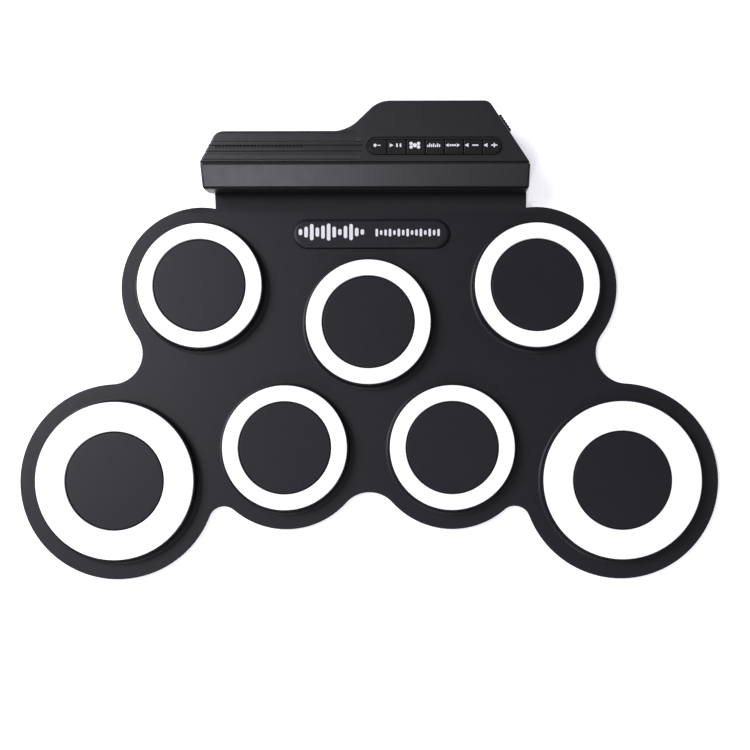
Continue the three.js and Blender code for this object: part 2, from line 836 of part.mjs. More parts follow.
function usbSocket() {
  const { x, halfWidth, front, height, reach, shell } = USB;
  const outer = box(x - halfWidth, x + halfWidth, front, reach, boardFace, boardFace + height);
  const inner = box(
    x - halfWidth + shell,
    x + halfWidth - shell,
    front + 1,
    reach + CUT,
    boardFace + shell,
    boardFace + height - shell,
  );
  const tongue = box(
    x - halfWidth + 1.6,
    x + halfWidth - 1.6,
    front + 0.5,
    reach - 1.5,
    boardFace + height / 2 - 0.3,
    boardFace + height / 2 + 0.3,
  );
  return outer.subtract(inner).add(tongue);
}

function speaker() {
  const { x0, x1, y, width, bottom, frameLow, frameHigh, coneDepth } = SPEAKER;
  const frame = slab(pill(x0, x1, y, width), frameLow, frameHigh, 8);
  const basket = slab(pill(x0 + 1, x1 - 1, y, width - 2), frameHigh - coneDepth - 2, frameHigh, 8);
  const magnet = slab(pill(x0 + 6, x1 - 6, y, width - 5), bottom, frameHigh - coneDepth - 1, 8);
  const cone = slab(pill(x0 + 2, x1 - 2, y, width - 4), frameHigh - coneDepth, frameHigh + CUT, 8);
  return join([frame, basket, magnet]).subtract(cone);
}

function flexConnector() {
  const half = FLEX_TAIL_HALF + 2;
  const shell = box(-half, half, 10.3, 15.8, 12.4, BOARD.low - LAYER_GAP);
  const mouth = FLEX_TAIL_HALF + FLEX_SLOT_SIDE;
  return shell.subtract(box(-mouth, mouth, 12.4, 13.4, 12, BOARD.low - 0.4));
}

function clampBar() {
  const bar = box(-CLAMP.half, CLAMP.half, CLAMP.y0, CLAMP.y1, CLAMP.low, CLAMP.high);
  const holes = PEGS.map((x) => post(x, PEG.y, PEG.radius + GAP, 0, CONSOLE_TOP, 12));
  return cut(bar, holes);
}

// ---------------------------------------------------------------- keys and switch

// One key, in a frame with its own middle at x = 0. The end keys follow the window's ends.
function key(i) {
  const x = FIRST_KEY_X + KEY_PITCH * i;
  const half = KEY_PITCH / 2 - KEY_SIDE_GAP / 2;
  const margin = (STRIP_WIDTH - WINDOW_WIDTH) / 2 + KEY_SIDE_GAP;
  const field = slab(
    pill(stripLeft + margin, stripRight - margin, STRIP_Y, WINDOW_WIDTH - 2 * KEY_SIDE_GAP),
    KEY_FLANGE_BOTTOM,
    KEY_TOP,
    8,
  );
  const cell = box(x - half, x + half, 0, DEEP, 0, CONSOLE_TOP);
  const flange = box(
    x - half + 1,
    x + half - 1,
    STRIP_Y - KEY_FLANGE_WIDTH / 2,
    STRIP_Y + KEY_FLANGE_WIDTH / 2,
    KEY_FLANGE_BOTTOM,
    KEY_FLANGE_TOP,
  );
  const plunger = box(
    x - KEY_PLUNGER_SIZE / 2,
    x + KEY_PLUNGER_SIZE / 2,
    STRIP_Y - KEY_PLUNGER_SIZE / 2,
    STRIP_Y + KEY_PLUNGER_SIZE / 2,
    KEY_PLUNGER_BOTTOM,
    KEY_FLANGE_TOP,
  );
  return join([field.intersect(cell), flange, plunger]).translate([-x, -STRIP_Y, 0]);
}

function switchKnob() {
  const grip = box(GAP, GRIP.out, -GRIP.half, GRIP.half, -GRIP.halfHeight, GRIP.halfHeight);
  const neck = box(
    SWITCH_NECK.in,
    GRIP.out - CUT,
    -SWITCH_NECK.half,
    SWITCH_NECK.half,
    -SWITCH_NECK.halfHeight,
    SWITCH_NECK.halfHeight,
  );
  const pitch = (2 * GRIP.half) / (GRIP.ridges + 1);
  const ridges = Array.from({ length: GRIP.ridges }, (_, i) => {
    const y = -GRIP.half + pitch * (i + 1);
    return box(
      GRIP.out - GRIP.ridge,
      GRIP.out + CUT,
      y - GRIP.ridge / 2,
      y + GRIP.ridge / 2,
      -DEEP,
      DEEP,
    );
  });
  return cut(grip.add(neck), ridges);
}

const switchBody = () =>
  box(
    SWITCH_BODY.back,
    SWITCH_BODY.front,
    SWITCH_BODY.y0,
    SWITCH_BODY.y1,
    -SWITCH_BODY.halfHeight,
    SWITCH_BODY.halfHeight,
  );

// ---------------------------------------------------------------- fixings

const caseScrew = () =>
  post(0, 0, SCREW.head, SCREW.headLow, SCREW.headHigh)
    .add(post(0, 0, SCREW.shaft, SCREW.headLow, SCREW.tip, 12))
    .subtract(box(-1.8, 1.8, -0.35, 0.35, 0, SCREW.headLow + 0.6))
    .subtract(box(-0.35, 0.35, -1.8, 1.8, 0, SCREW.headLow + 0.6));

const foot = () => post(0, 0, FOOT.radius, 0, FOOT.height, 20);

// ---------------------------------------------------------------- assembly

function mesh(name, body, material) {
  const made = new THREE.Mesh(geometryOf(body), material);
  made.name = name;
  return made;
}

function group(x, y, z, ...children) {
  const made = new THREE.Group();
  made.position.set(x, y, z);
  made.add(...children);
  return made;
}

const mat = group(
  0,
  0,
  0,
  mesh("mat_sheet", matSheet(), MATERIAL.silicone),
  mesh("mat_backing", matBacking(), MATERIAL.silicone),
  mesh("flex_circuit", flexCircuit(), MATERIAL.film),
  ...PADS.map(({ name, x, y, size }) =>
    group(
      x,
      y,
      0,
      mesh(`pad_body_${name}`, puck(size), MATERIAL.silicone),
      mesh(`pad_ring_${name}`, ring(size), MATERIAL.white),
      mesh(`pad_sensor_${name}`, sensor(size), MATERIAL.brass),
    ),
  ),
);

const cells = Array.from({ length: CELL.count }, (_, i) => {
  const cell = mesh(`battery_cell_${i + 1}`, batteryCell(), MATERIAL.wrap);
  cell.position.set(CELL.x, CELL.first + CELL.pitch * i, CELL.z);
  cell.rotation.y = (i % 2 ? -1 : 1) * (Math.PI / 2);
  return cell;
});

const keys = KEYS.map((name, i) =>
  group(
    FIRST_KEY_X + KEY_PITCH * i,
    STRIP_Y,
    0,
    mesh(`key_${name}`, key(i), MATERIAL.key),
  ),
);

const powerSwitch = group(
  switchPlace.x,
  switchPlace.y,
  SWITCH_Z,
  mesh("power_switch_knob", switchKnob(), MATERIAL.key),
  mesh("power_switch_body", switchBody(), MATERIAL.chip),
);
powerSwitch.rotation.z = slopeTurn;

const controlConsole = group(
  0,
  CONSOLE_FRONT,
  0,
  mesh("top_cover", topCover(), MATERIAL.plastic),
  mesh("front_fascia", frontFascia(), MATERIAL.plastic),
  mesh("base_shell", baseShell(), MATERIAL.plastic),
  mesh("battery_door", batteryDoor(), MATERIAL.plastic),
  ...cells,
  mesh("battery_contact_left", contactStrip(-1), MATERIAL.steel),
  mesh("battery_contact_right", contactStrip(1), MATERIAL.steel),
  mesh("main_board", mainBoard(), MATERIAL.board),
  mesh("speaker", speaker(), MATERIAL.chip),
  mesh("flex_connector", flexConnector(), MATERIAL.chip),
  mesh("key_board", plate(KEY_BOARD), MATERIAL.board),
  mesh("keypad_membrane", plate(MEMBRANE), MATERIAL.rubber),
  ...keys,
  powerSwitch,
  mesh("usb_socket", usbSocket(), MATERIAL.steel),
  ...SOCKETS.map(({ name, x }) => mesh(name, jack(x), MATERIAL.chip)),
  mesh("mat_clamp_bar", clampBar(), MATERIAL.plastic),
  ...FEET.map(([x, y], i) => group(x, y, 0, mesh(`foot_${i + 1}`, foot(), MATERIAL.rubber))),
  ...SCREWS.map(([x, y], i) =>
    group(x, y, 0, mesh(`case_screw_${i + 1}`, caseScrew(), MATERIAL.steel)),
  ),
);

const drumPad = group(0, 0, 0, mat, controlConsole);

export default drumPad;
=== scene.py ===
import math

import bmesh
import bpy
import numpy as np
from mathutils import Matrix, Vector
from mathutils.geometry import delaunay_2d_cdt


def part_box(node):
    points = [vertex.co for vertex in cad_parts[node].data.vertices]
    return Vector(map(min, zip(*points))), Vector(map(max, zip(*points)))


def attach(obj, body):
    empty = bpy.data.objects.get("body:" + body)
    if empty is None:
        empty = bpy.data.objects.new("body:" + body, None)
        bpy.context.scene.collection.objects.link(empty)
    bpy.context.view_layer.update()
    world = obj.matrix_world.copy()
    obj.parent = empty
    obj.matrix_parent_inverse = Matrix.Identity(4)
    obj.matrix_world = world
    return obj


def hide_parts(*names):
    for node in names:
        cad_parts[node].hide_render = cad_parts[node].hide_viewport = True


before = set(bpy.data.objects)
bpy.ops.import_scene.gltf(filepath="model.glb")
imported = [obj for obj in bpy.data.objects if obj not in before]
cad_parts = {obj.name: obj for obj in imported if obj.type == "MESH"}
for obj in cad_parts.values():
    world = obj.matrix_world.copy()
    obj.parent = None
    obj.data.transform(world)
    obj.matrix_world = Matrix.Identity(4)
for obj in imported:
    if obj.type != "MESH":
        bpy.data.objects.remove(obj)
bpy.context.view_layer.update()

MM = 0.001
ROOT = "mat_and_console"

# ------------------------------------------------------------------ dimensions, in millimetres

PAD_NAMES = (
    "rear_left",
    "rear_right",
    "centre",
    "middle_left",
    "middle_right",
    "front_left",
    "front_right",
)
KEY_NAMES = ("record", "play", "kit", "rhythm", "tempo", "volume_down", "volume_up")
JACK_NAMES = ("phones_jack", "kick_pedal_jack", "hihat_pedal_jack")

SMALL_LOBE = 52
LARGE_LOBE = 63
WAIST_FILLET = 20
NOTCH_FILLET = 10
NECK_LEFT = -99
NECK_RIGHT = 101.6
MAT_TOP = 3.0
SHEET_BOTTOM = 0.8
BACKING_TOP = 0.75
RAMP_START = 86
RAMP_END = 98.5
RAMP_RISE = 2.7
UNDER_RAMP_START = 91.5
MAT_EDGE = 0.6
TONGUE_END = 106

LOZENGE_X = 1.5
LOZENGE_Y = 73.6
LOZENGE_LENGTH = 101.4
LOZENGE_WIDTH = 19
LOZENGE_TOP = 5.4
LOZENGE_CROWN = 2.6

WELL_MARGIN = 3.2
WELL_SEGMENTS = 96
PAD_TOP = 10.5
PAD_WALL = 0.9
PAD_SEGMENTS = 128
DISC_TOP = 9.9
DISC_EDGE = 0.45
RING_EDGE = 0.4
RING_SEAT = 8.9
RING_GROOVE = 0.8

CONSOLE_FRONT = 97.2
LEFT_END = -103.4
RIGHT_END = 101.8
LOW_DEPTH = 33
HIGH_DEPTH = 51.8
CONSOLE_TOP = 31
BEVEL_LOW = 22
BEVEL_RUN = 12
OUTLINE = (
    (LEFT_END, 0, 1.5),
    (RIGHT_END, 0, 1.5),
    (RIGHT_END, 12.8, 3),
    (76.2, HIGH_DEPTH, 6),
    (7.6, HIGH_DEPTH, 18),
    (-11.8, LOW_DEPTH, -22),
    (-93.2, LOW_DEPTH, 8),
    (LEFT_END, 13.6, 3),
)
GROOVE_ROWS = (25.4, 23, 19.4, 15.5)
GROOVE_END = -2.5
GROOVE_HALF = 0.65
GROOVE_SOFT = 0.15
GROOVE_DEPTH = (0.8, 0.8, 0.8, 0.35)
RIBS = ((26.2, 33.4), (23.8, 24.6), (20.2, 22.2), (16.3, 18.6), (13.6, 14.7))
RIB_CROWN = 0.05
RIB_FADE = 4
SOUND_HOLE_ROW = 23
SOUND_HOLE_RADIUS = 0.5
SOUND_HOLE_DEPTH = 0.9
SOUND_HOLES = (-93, -38, 2.2)
KEY_PITCH = 11.85
FIRST_KEY_X = 7.1
STRIP_Y = 22.6
STRIP_WIDTH = 11.6
STRIP_DEPTH = 0.8
WINDOW_WIDTH = 10
WINDOW_FLOOR = 25
KEY_TOP = 30.8
KEY_LOW = 27.8
KEY_GAP = 0.35
STRIP_END = 0.8
STRIP_LEFT = FIRST_KEY_X - KEY_PITCH / 2 - STRIP_END
STRIP_RIGHT = FIRST_KEY_X + KEY_PITCH * (len(KEY_NAMES) - 0.5) + STRIP_END
JACK_AXIS = 19.6


# ------------------------------------------------------------------ plan outlines

def arc(cx, cy, radius, start, end, step=3.0):
    """Points along an arc, angles in radians, one every few degrees."""
    count = max(2, math.ceil(abs(math.degrees(end - start)) / step))
    angles = np.linspace(start, end, count + 1)
    return [(cx + radius * math.cos(a), cy + radius * math.sin(a)) for a in angles]


def rounded(corners, step=7.5):
    """A closed outline with round corners. A negative radius marks a hollow corner."""
    points = []
    count = len(corners)
    for i, (x, y, signed) in enumerate(corners):
        here = Vector((x, y))
        back = (Vector(corners[i - 1][:2]) - here).normalized()
        on = (Vector(corners[(i + 1) % count][:2]) - here).normalized()
        half = back.angle(on) / 2
        radius = abs(signed)
        centre = here + (back + on).normalized() * (radius / math.sin(half))
        reach = radius / math.tan(half)
        a = here + back * reach - centre
        b = here + on * reach - centre
        start = math.atan2(a.y, a.x)
        turn = (math.atan2(b.y, b.x) - start + math.pi) % (2 * math.pi) - math.pi
        points += arc(centre.x, centre.y, radius, start, start + turn, step)
    return points


def rectangle(x0, x1, y0, y1):
    return [(x0, y0), (x1, y0), (x1, y1), (x0, y1)]


def round_box(x0, x1, y0, y1, radius, step):
    """A rectangle with round corners."""
    return rounded([(x, y, radius) for x, y in rectangle(x0, x1, y0, y1)], step)


def cross_lines(heights, right=120):
    """Lines across the whole plan, or as far as a right-hand end."""
    return [((-120, y), (right, y)) for y in heights]


def pill(x0, x1, y, width, step=7.5):
    """A rectangle with fully round ends."""
    r = width / 2
    return arc(x1 - r, y, r, -math.pi / 2, math.pi / 2, step) + arc(
        x0 + r, y, r, math.pi / 2, 3 * math.pi / 2, step
    )


def circle(cx, cy, radius, count):
    return [
        (
            cx + radius * math.cos(2 * math.pi * i / count),
            cy + radius * math.sin(2 * math.pi * i / count),
        )
        for i in range(count)
    ]


def inset(points, distance):
    """The outline moved inwards, point by point along its own normals."""
    p = np.array(points)
    along = np.roll(p, -1, axis=0) - np.roll(p, 1, axis=0)
    along /= np.linalg.norm(along, axis=1)[:, None]
    return [tuple(q) for q in p + np.stack([-along[:, 1], along[:, 0]], axis=1) * distance]


def shrunk(corners, distance):
    """The corners of an outline moved inwards, each with the radius that keeps it parallel."""
    moved = []
    count = len(corners)
    for i, (x, y, signed) in enumerate(corners):
        here = Vector((x, y))
        back = (here - Vector(corners[i - 1][:2])).normalized()
        on = (Vector(corners[(i + 1) % count][:2]) - here).normalized()
        in_back, in_on = Vector((-back.y, back.x)), Vector((-on.y, on.x))
        corner = here + (in_back + in_on) * (distance / (1 + in_back.dot(in_on)))
        radius = signed - distance if signed < 0 else max(signed - distance, 0.4)
        moved.append((corner.x, corner.y, radius))
    return moved


def middle(node):
    """The x and y of the middle of a CAD node, in millimetres."""
    low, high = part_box(node)
    return (low.x + high.x) / 2 / MM, (low.y + high.y) / 2 / MM


LOBES = {
    name: (*middle(f"pad_body_{name}"), LARGE_LOBE if name.startswith("front") else SMALL_LOBE)
    for name in PAD_NAMES
}


def fillet_centre(a, b, radius):
    """The centre of the fillet between two lobes, each given as x, y and radius."""
    ra, rb = a[2] + radius, b[2] + radius
    dx, dy = b[0] - a[0], b[1] - a[1]
    span = math.hypot(dx, dy)
    along = (span**2 + ra**2 - rb**2) / (2 * span)
    aside = math.sqrt(ra**2 - along**2)
    return (
        a[0] + (dx * along + dy * aside) / span,
        a[1] + (dy * along - dx * aside) / span,
    )


def half_outline(d, neck):
    """The right half of the mat's outline, moved inwards by d, with the neck's edge at neck."""
    chain = [LOBES[n] for n in ("middle_left", "middle_right", "front_right", "rear_right")]
    radii = (WAIST_FILLET, NOTCH_FILLET, WAIST_FILLET)
    centres = [fillet_centre(a, b, r) for a, b, r in zip(chain, chain[1:], radii)]
    right = []
    for i, (centre, radius) in enumerate(zip(centres, radii)):
        before, lobe = chain[i], chain[i + 1]
        cx, cy = centre
        start = math.pi / 2 if i == 0 else math.atan2(before[1] - cy, before[0] - cx)
        end = math.atan2(lobe[1] - cy, lobe[0] - cx)
        if end > start:
            end -= 2 * math.pi
        right += arc(cx, cy, radius + d, start, end)[:-1]
        a = math.atan2(cy - lobe[1], cx - lobe[0])
        if i + 1 < len(centres):
            b = math.atan2(centres[i + 1][1] - lobe[1], centres[i + 1][0] - lobe[0])
        else:
            b = math.acos((neck - d - lobe[0]) / (lobe[2] - d))
        if b < a:
            b += 2 * math.pi
        right += arc(lobe[0], lobe[1], lobe[2] - d, a, b)
        if i + 1 < len(centres):
            right.pop()
    right.append((neck - d, TONGUE_END))
    return right


def mat_outline(d):
    left = [(-x, y) for x, y in reversed(half_outline(d, -NECK_LEFT)[1:])]
    return half_outline(d, NECK_RIGHT) + left


# ------------------------------------------------------------------ distances

def distance_inside(points, outline):
    """Distance of each point from an outline, positive inside it."""
    p = np.asarray(points)
    a = np.array(outline)
    b = np.roll(a, -1, axis=0)
    ab = b - a
    nearest = np.full(len(p), 1e9)
    crossings = np.zeros(len(p), dtype=int)
    for start, end, edge in zip(a, b, ab):
        rel = p - start
        t = np.clip(rel @ edge / max(edge @ edge, 1e-12), 0, 1)
        nearest = np.minimum(nearest, np.linalg.norm(rel - t[:, None] * edge, axis=1))
        if start[1] != end[1]:
            spans = (p[:, 1] >= min(start[1], end[1])) & (p[:, 1] < max(start[1], end[1]))
            x = start[0] + (p[:, 1] - start[1]) * edge[0] / edge[1]
            crossings += (spans & (x > p[:, 0])).astype(int)
    return np.where(crossings % 2 == 1, nearest, -nearest)


def pill_distance(p, x0, x1, y, width):
    """Distance outside a pill, negative inside it."""
    r = width / 2
    nearest = np.clip(p[:, 0], x0 + r, x1 - r)
    return np.hypot(p[:, 0] - nearest, p[:, 1] - y) - r


def edge_drop(distance, radius):
    """How far a rounded edge has dropped, by the distance in from the edge."""
    t = np.clip(radius - distance, 0, radius)
    return radius - np.sqrt(radius**2 - t**2)


def ease(t):
    """A smooth step from 0 to 1."""
    t = np.clip(t, 0, 1)
    return t * t * (3 - 2 * t)


# ------------------------------------------------------------------ meshes

def piece(name, mesh, finish, body, node=None, smooth=40):
    """Puts a mesh in the scene, on a body, in place of a CAD node.

    The finish is a material, or None where the mesh has its materials already."""
    if finish:
        mesh.materials.clear()
        mesh.materials.append(finish)
    mesh.shade_smooth()
    mesh.set_sharp_from_angle(angle=math.radians(smooth))
    obj = bpy.data.objects.new(name, mesh)
    bpy.context.scene.collection.objects.link(obj)
    weighted = obj.modifiers.new("even_shading", "WEIGHTED_NORMAL")
    weighted.keep_sharp = True
    weighted.weight = 90
    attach(obj, body)
    if node:
        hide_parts(node)
    return obj


def mesh_of(name, vertices, faces):
    """A mesh from millimetre vertices, with its faces turned outwards."""
    mesh = bpy.data.meshes.new(name)
    mesh.from_pydata([(x * MM, y * MM, z * MM) for x, y, z in vertices], [], faces)
    bm = bmesh.new()
    bm.from_mesh(mesh)
    bmesh.ops.remove_doubles(bm, verts=bm.verts, dist=1e-7)
    bmesh.ops.recalc_face_normals(bm, faces=bm.faces)
    bm.to_mesh(mesh)
    bm.free()
    return mesh


def loft(name, rings):
    """A closed solid through rings of equal point counts."""
    count = len(rings[0])
    vertices = [v for ring in rings for v in ring]
    faces = [tuple(range(count)), tuple(range((len(rings) - 1) * count, len(rings) * count))]
    for level in range(len(rings) - 1):
        base = level * count
        for i in range(count):
            j = (i + 1) % count
            faces.append((base + i, base + j, base + count + j, base + count + i))
    return mesh_of(name, vertices, faces)


def at_height(outline, z):
    return [(x, y, z) for x, y in outline]


def turned(name, profile, cx, cy, segments=96):
    """A closed [radius, z] profile turned about an upright axis."""
    vertices, faces = [], []
    count = len(profile)
    for s in range(segments):
        a = 2 * math.pi * s / segments
        vertices += [(cx + r * math.cos(a), cy + r * math.sin(a), z) for r, z in profile]
    for s in range(segments):
        t = (s + 1) % segments
        for i in range(count):
            j = (i + 1) % count
            if profile[i][0] < 1e-6 and profile[j][0] < 1e-6:
                continue
            faces.append((s * count + i, s * count + j, t * count + j, t * count + i))
    return mesh_of(name, vertices, faces)


def round_corner(cx, cz, radius, start, end, steps=4):
    """Profile points round a corner, angles in degrees."""
    angles = [math.radians(start + (end - start) * i / steps) for i in range(steps + 1)]
    return [(cx + radius * math.cos(a), cz + radius * math.sin(a)) for a in angles]


def relief(name, outline, loops, lines, extra, height, floor, holes=()):
    """A closed solid whose top is a height field over an outline.

    Loops and lines are kept as edges, so the height field bends exactly there."""
    vertices = [Vector(p) for p in extra]
    edges = []
    for loop in (outline, *loops):
        first = len(vertices)
        vertices += [Vector(p) for p in loop]
        edges += [(first + i, first + (i + 1) % len(loop)) for i in range(len(loop))]
    for a, b in lines:
        edges.append((len(vertices), len(vertices) + 1))
        vertices += [Vector(a), Vector(b)]
    made, _, triangles, *_ = delaunay_2d_cdt(vertices, edges, [], 0, 1e-5)
    points = np.array([tuple(v) for v in made])
    middles = np.array([points[list(t)].mean(axis=0) for t in triangles])
    keep = distance_inside(middles, outline) > 0
    for hole in holes:
        keep &= distance_inside(middles, hole) < 0
    triangles = [tuple(t) for t, k in zip(triangles, keep) if k]
    top = height(points)
    low = floor(points)
    count = len(points)
    body = [(x, y, z) for (x, y), z in zip(points, top)]
    body += [(x, y, z) for x, y, z in low]
    faces = list(triangles) + [tuple(count + i for i in reversed(t)) for t in triangles]
    used = dict.fromkeys((a, b) for t in triangles for a, b in zip(t, t[1:] + t[:1]))
    for a, b in used:
        if (b, a) not in used:
            faces.append((b, a, count + a, count + b))
    return mesh_of(name, body, faces)


def soft_slab(name, outline, z0, z1, low=0.2, high=0.2, steps=3):
    """An outline raised between two heights, with rounded lower and upper edges."""
    levels = []
    for i in range(steps + 1):
        a = math.pi / 2 * i / steps
        levels.append((low * (1 - math.sin(a)), z0 + low * (1 - math.cos(a))))
    for i in range(steps, -1, -1):
        a = math.pi / 2 * i / steps
        levels.append((high * (1 - math.sin(a)), z1 - high * (1 - math.cos(a))))
    return loft(name, [at_height(inset(outline, d), z) for d, z in levels])


def block(name, x0, x1, y0, y1, z0, z1, radius=0.3):
    """A box with every edge rounded."""
    plan = round_box(x0, x1, y0, y1, radius, 30)
    return soft_slab(name, plan, z0, z1, radius * 0.8, radius * 0.8, 2)


def sharp_box(x0, x1, y0, y1, z0, z1):
    plan = rectangle(x0, x1, y0, y1)
    return loft("cutter", [at_height(plan, z0), at_height(plan, z1)])


def post(x, y, radius, z0, z1, count=48):
    plan = circle(x, y, radius, count)
    return loft("post", [at_height(plan, z0), at_height(plan, z1)])


def carve(mesh, *steps):
    """The mesh after each step in turn: "+" joins a mesh to it, and "-" cuts one away."""
    target = bpy.data.objects.new("carve_target", mesh)
    bpy.context.scene.collection.objects.link(target)
    tools = []
    for sign, shape in steps:
        tool = bpy.data.objects.new("carve_tool", shape)
        bpy.context.scene.collection.objects.link(tool)
        tools.append(tool)
        boolean = target.modifiers.new("carve", "BOOLEAN")
        boolean.operation = "UNION" if sign == "+" else "DIFFERENCE"
        boolean.solver = "EXACT"
        boolean.object = tool
    shapes = bpy.context.evaluated_depsgraph_get()
    result = bpy.data.meshes.new_from_object(target.evaluated_get(shapes))
    result.name = mesh.name
    for obj in (target, *tools):
        bpy.data.objects.remove(obj)
    return result


def hex_grid(x0, x1, y0, y1, pitch):
    """Points in rows, each row half a pitch aside from the last."""
    points = []
    row = 0
    y = y0
    while y <= y1:
        x = x0 + (pitch / 2 if row % 2 else 0)
        while x <= x1:
            points.append((x, y))
            x += pitch
        y += pitch * 0.866
        row += 1
    return points


# ------------------------------------------------------------------ materials

def material(name, color, roughness, metallic=0.0, specular=0.5):
    """A new material, with its node tree and its shader."""
    mat = bpy.data.materials.new(name)
    mat.use_nodes = True
    shader = mat.node_tree.nodes["Principled BSDF"]
    shader.inputs["Base Color"].default_value = (*color, 1)
    shader.inputs["Roughness"].default_value = roughness
    shader.inputs["Metallic"].default_value = metallic
    shader.inputs["Specular IOR Level"].default_value = specular
    return mat, mat.node_tree, shader


def object_space(tree):
    return tree.nodes.new("ShaderNodeTexCoord").outputs["Object"]


def noise(tree, where, scale, detail=2.0, rough=0.5):
    node = tree.nodes.new("ShaderNodeTexNoise")
    node.inputs["Scale"].default_value = scale
    node.inputs["Detail"].default_value = detail
    node.inputs["Roughness"].default_value = rough
    tree.links.new(where, node.inputs["Vector"])
    return node.outputs["Fac"]


def spread(tree, value, low, high, from_low=0.3, from_high=0.7):
    """Maps a 0-1 pattern to a range."""
    node = tree.nodes.new("ShaderNodeMapRange")
    node.inputs["From Min"].default_value = from_low
    node.inputs["From Max"].default_value = from_high
    node.inputs["To Min"].default_value = low
    node.inputs["To Max"].default_value = high
    tree.links.new(value, node.inputs["Value"])
    return node.outputs["Result"]


def blend_colors(tree, factor, a, b):
    node = tree.nodes.new("ShaderNodeMix")
    node.data_type = "RGBA"
    node.inputs["A"].default_value = (*a, 1)
    node.inputs["B"].default_value = (*b, 1)
    tree.links.new(factor, node.inputs["Factor"])
    return node.outputs["Result"]


def bump(tree, shader, height, strength, distance):
    node = tree.nodes.new("ShaderNodeBump")
    node.inputs["Strength"].default_value = strength
    node.inputs["Distance"].default_value = distance
    tree.links.new(height, node.inputs["Height"])
    tree.links.new(node.outputs["Normal"], shader.inputs["Normal"])


def grained(name, dark, light, roughness, grain, depth, specular=0.5, clouds=9.0, uneven=0.05):
    """A moulded surface: fine grain in the bump, slow variation in colour and gloss."""
    mat, tree, shader = material(name, light, roughness, specular=specular)
    where = object_space(tree)
    slow = noise(tree, where, clouds, 4.0, 0.6)
    tree.links.new(
        blend_colors(tree, spread(tree, slow, 0, 1), dark, light), shader.inputs["Base Color"]
    )
    mottle = noise(tree, where, clouds * 14, 3.0, 0.6)
    tree.links.new(
        spread(tree, mottle, roughness - uneven, roughness + uneven), shader.inputs["Roughness"]
    )
    bump(tree, shader, noise(tree, where, grain, 2.0, 0.6), 0.5, depth)
    return mat


SILICONE = grained(
    "silicone_black", (0.0084, 0.0081, 0.0101), (0.0100, 0.0097, 0.0120), 0.46, 3800, 0.00004, 0.21,
    uneven=0.03,
)
PAD_SILICONE = grained(
    "silicone_pad", (0.0084, 0.0081, 0.0101), (0.0102, 0.0099, 0.0122), 0.45, 4200, 0.00004, 0.21,
    uneven=0.03,
)
WHITE = grained("silicone_white", (0.90, 0.90, 0.90), (0.93, 0.93, 0.93), 0.5, 3800, 0.00003)
CASE = grained(
    "plastic_case", (0.0058, 0.0057, 0.0072), (0.0070, 0.0068, 0.0086), 0.39, 5200, 0.00003, 0.5,
    uneven=0.02,
)
FASCIA = grained(
    "plastic_fascia", (0.0076, 0.0074, 0.0091), (0.0088, 0.0086, 0.0105), 0.36, 5200, 0.00003, 0.4,
    uneven=0.012,
)
KEY = grained(
    "plastic_key", (0.0045, 0.0045, 0.0054), (0.006, 0.006, 0.007), 0.45, 5600, 0.00002, 0.22
)
RUBBER = grained("rubber_foot", (0.006, 0.006, 0.006), (0.009, 0.009, 0.009), 0.7, 2600, 0.00006)
PRINT = grained("white_print", (0.58, 0.58, 0.60), (0.64, 0.64, 0.66), 0.5, 3000, 0.00001)
DARK = grained("dark_plastic", (0.010, 0.010, 0.011), (0.014, 0.014, 0.015), 0.42, 5000, 0.00002)
CELL_WRAP = grained("cell_wrap", (0.012, 0.012, 0.014), (0.018, 0.018, 0.02), 0.28, 900, 0.00001)
CELL_BAND = grained("cell_band", (0.42, 0.17, 0.045), (0.50, 0.21, 0.06), 0.3, 900, 0.00001)


def metal(name, color, roughness, scratches):
    """Bare metal with fine brush marks in its gloss."""
    mat, tree, shader = material(name, color, roughness, metallic=1.0)
    where = object_space(tree)
    stretch = tree.nodes.new("ShaderNodeMapping")
    stretch.inputs["Scale"].default_value = (1, 14, 14)
    tree.links.new(where, stretch.inputs["Vector"])
    marks = noise(tree, stretch.outputs["Vector"], scratches, 4.0, 0.7)
    gloss = spread(tree, marks, roughness - 0.1, roughness + 0.12)
    tree.links.new(gloss, shader.inputs["Roughness"])
    dull = tuple(c * 0.8 for c in color)
    tree.links.new(blend_colors(tree, marks, dull, color), shader.inputs["Base Color"])
    bump(tree, shader, marks, 0.3, 0.00002)
    return mat


STEEL = metal("brushed_steel", (0.55, 0.55, 0.57), 0.32, 700)
FOIL = metal("sensor_foil", (0.62, 0.46, 0.24), 0.35, 500)


def circuit_board():
    """Green solder mask over a grid of tracks."""
    mat, tree, shader = material("circuit_board", (0.02, 0.12, 0.05), 0.4)
    where = object_space(tree)
    tracks = tree.nodes.new("ShaderNodeTexBrick")
    tracks.inputs["Scale"].default_value = 320
    tracks.inputs["Mortar Size"].default_value = 0.012
    tree.links.new(where, tracks.inputs["Vector"])
    tracks.inputs["Color1"].default_value = (0.012, 0.075, 0.032, 1)
    tracks.inputs["Color2"].default_value = (0.014, 0.088, 0.038, 1)
    tracks.inputs["Mortar"].default_value = (0.03, 0.17, 0.07, 1)
    tree.links.new(tracks.outputs["Color"], shader.inputs["Base Color"])
    bump(tree, shader, tracks.outputs["Fac"], 0.3, 0.00003)
    return mat


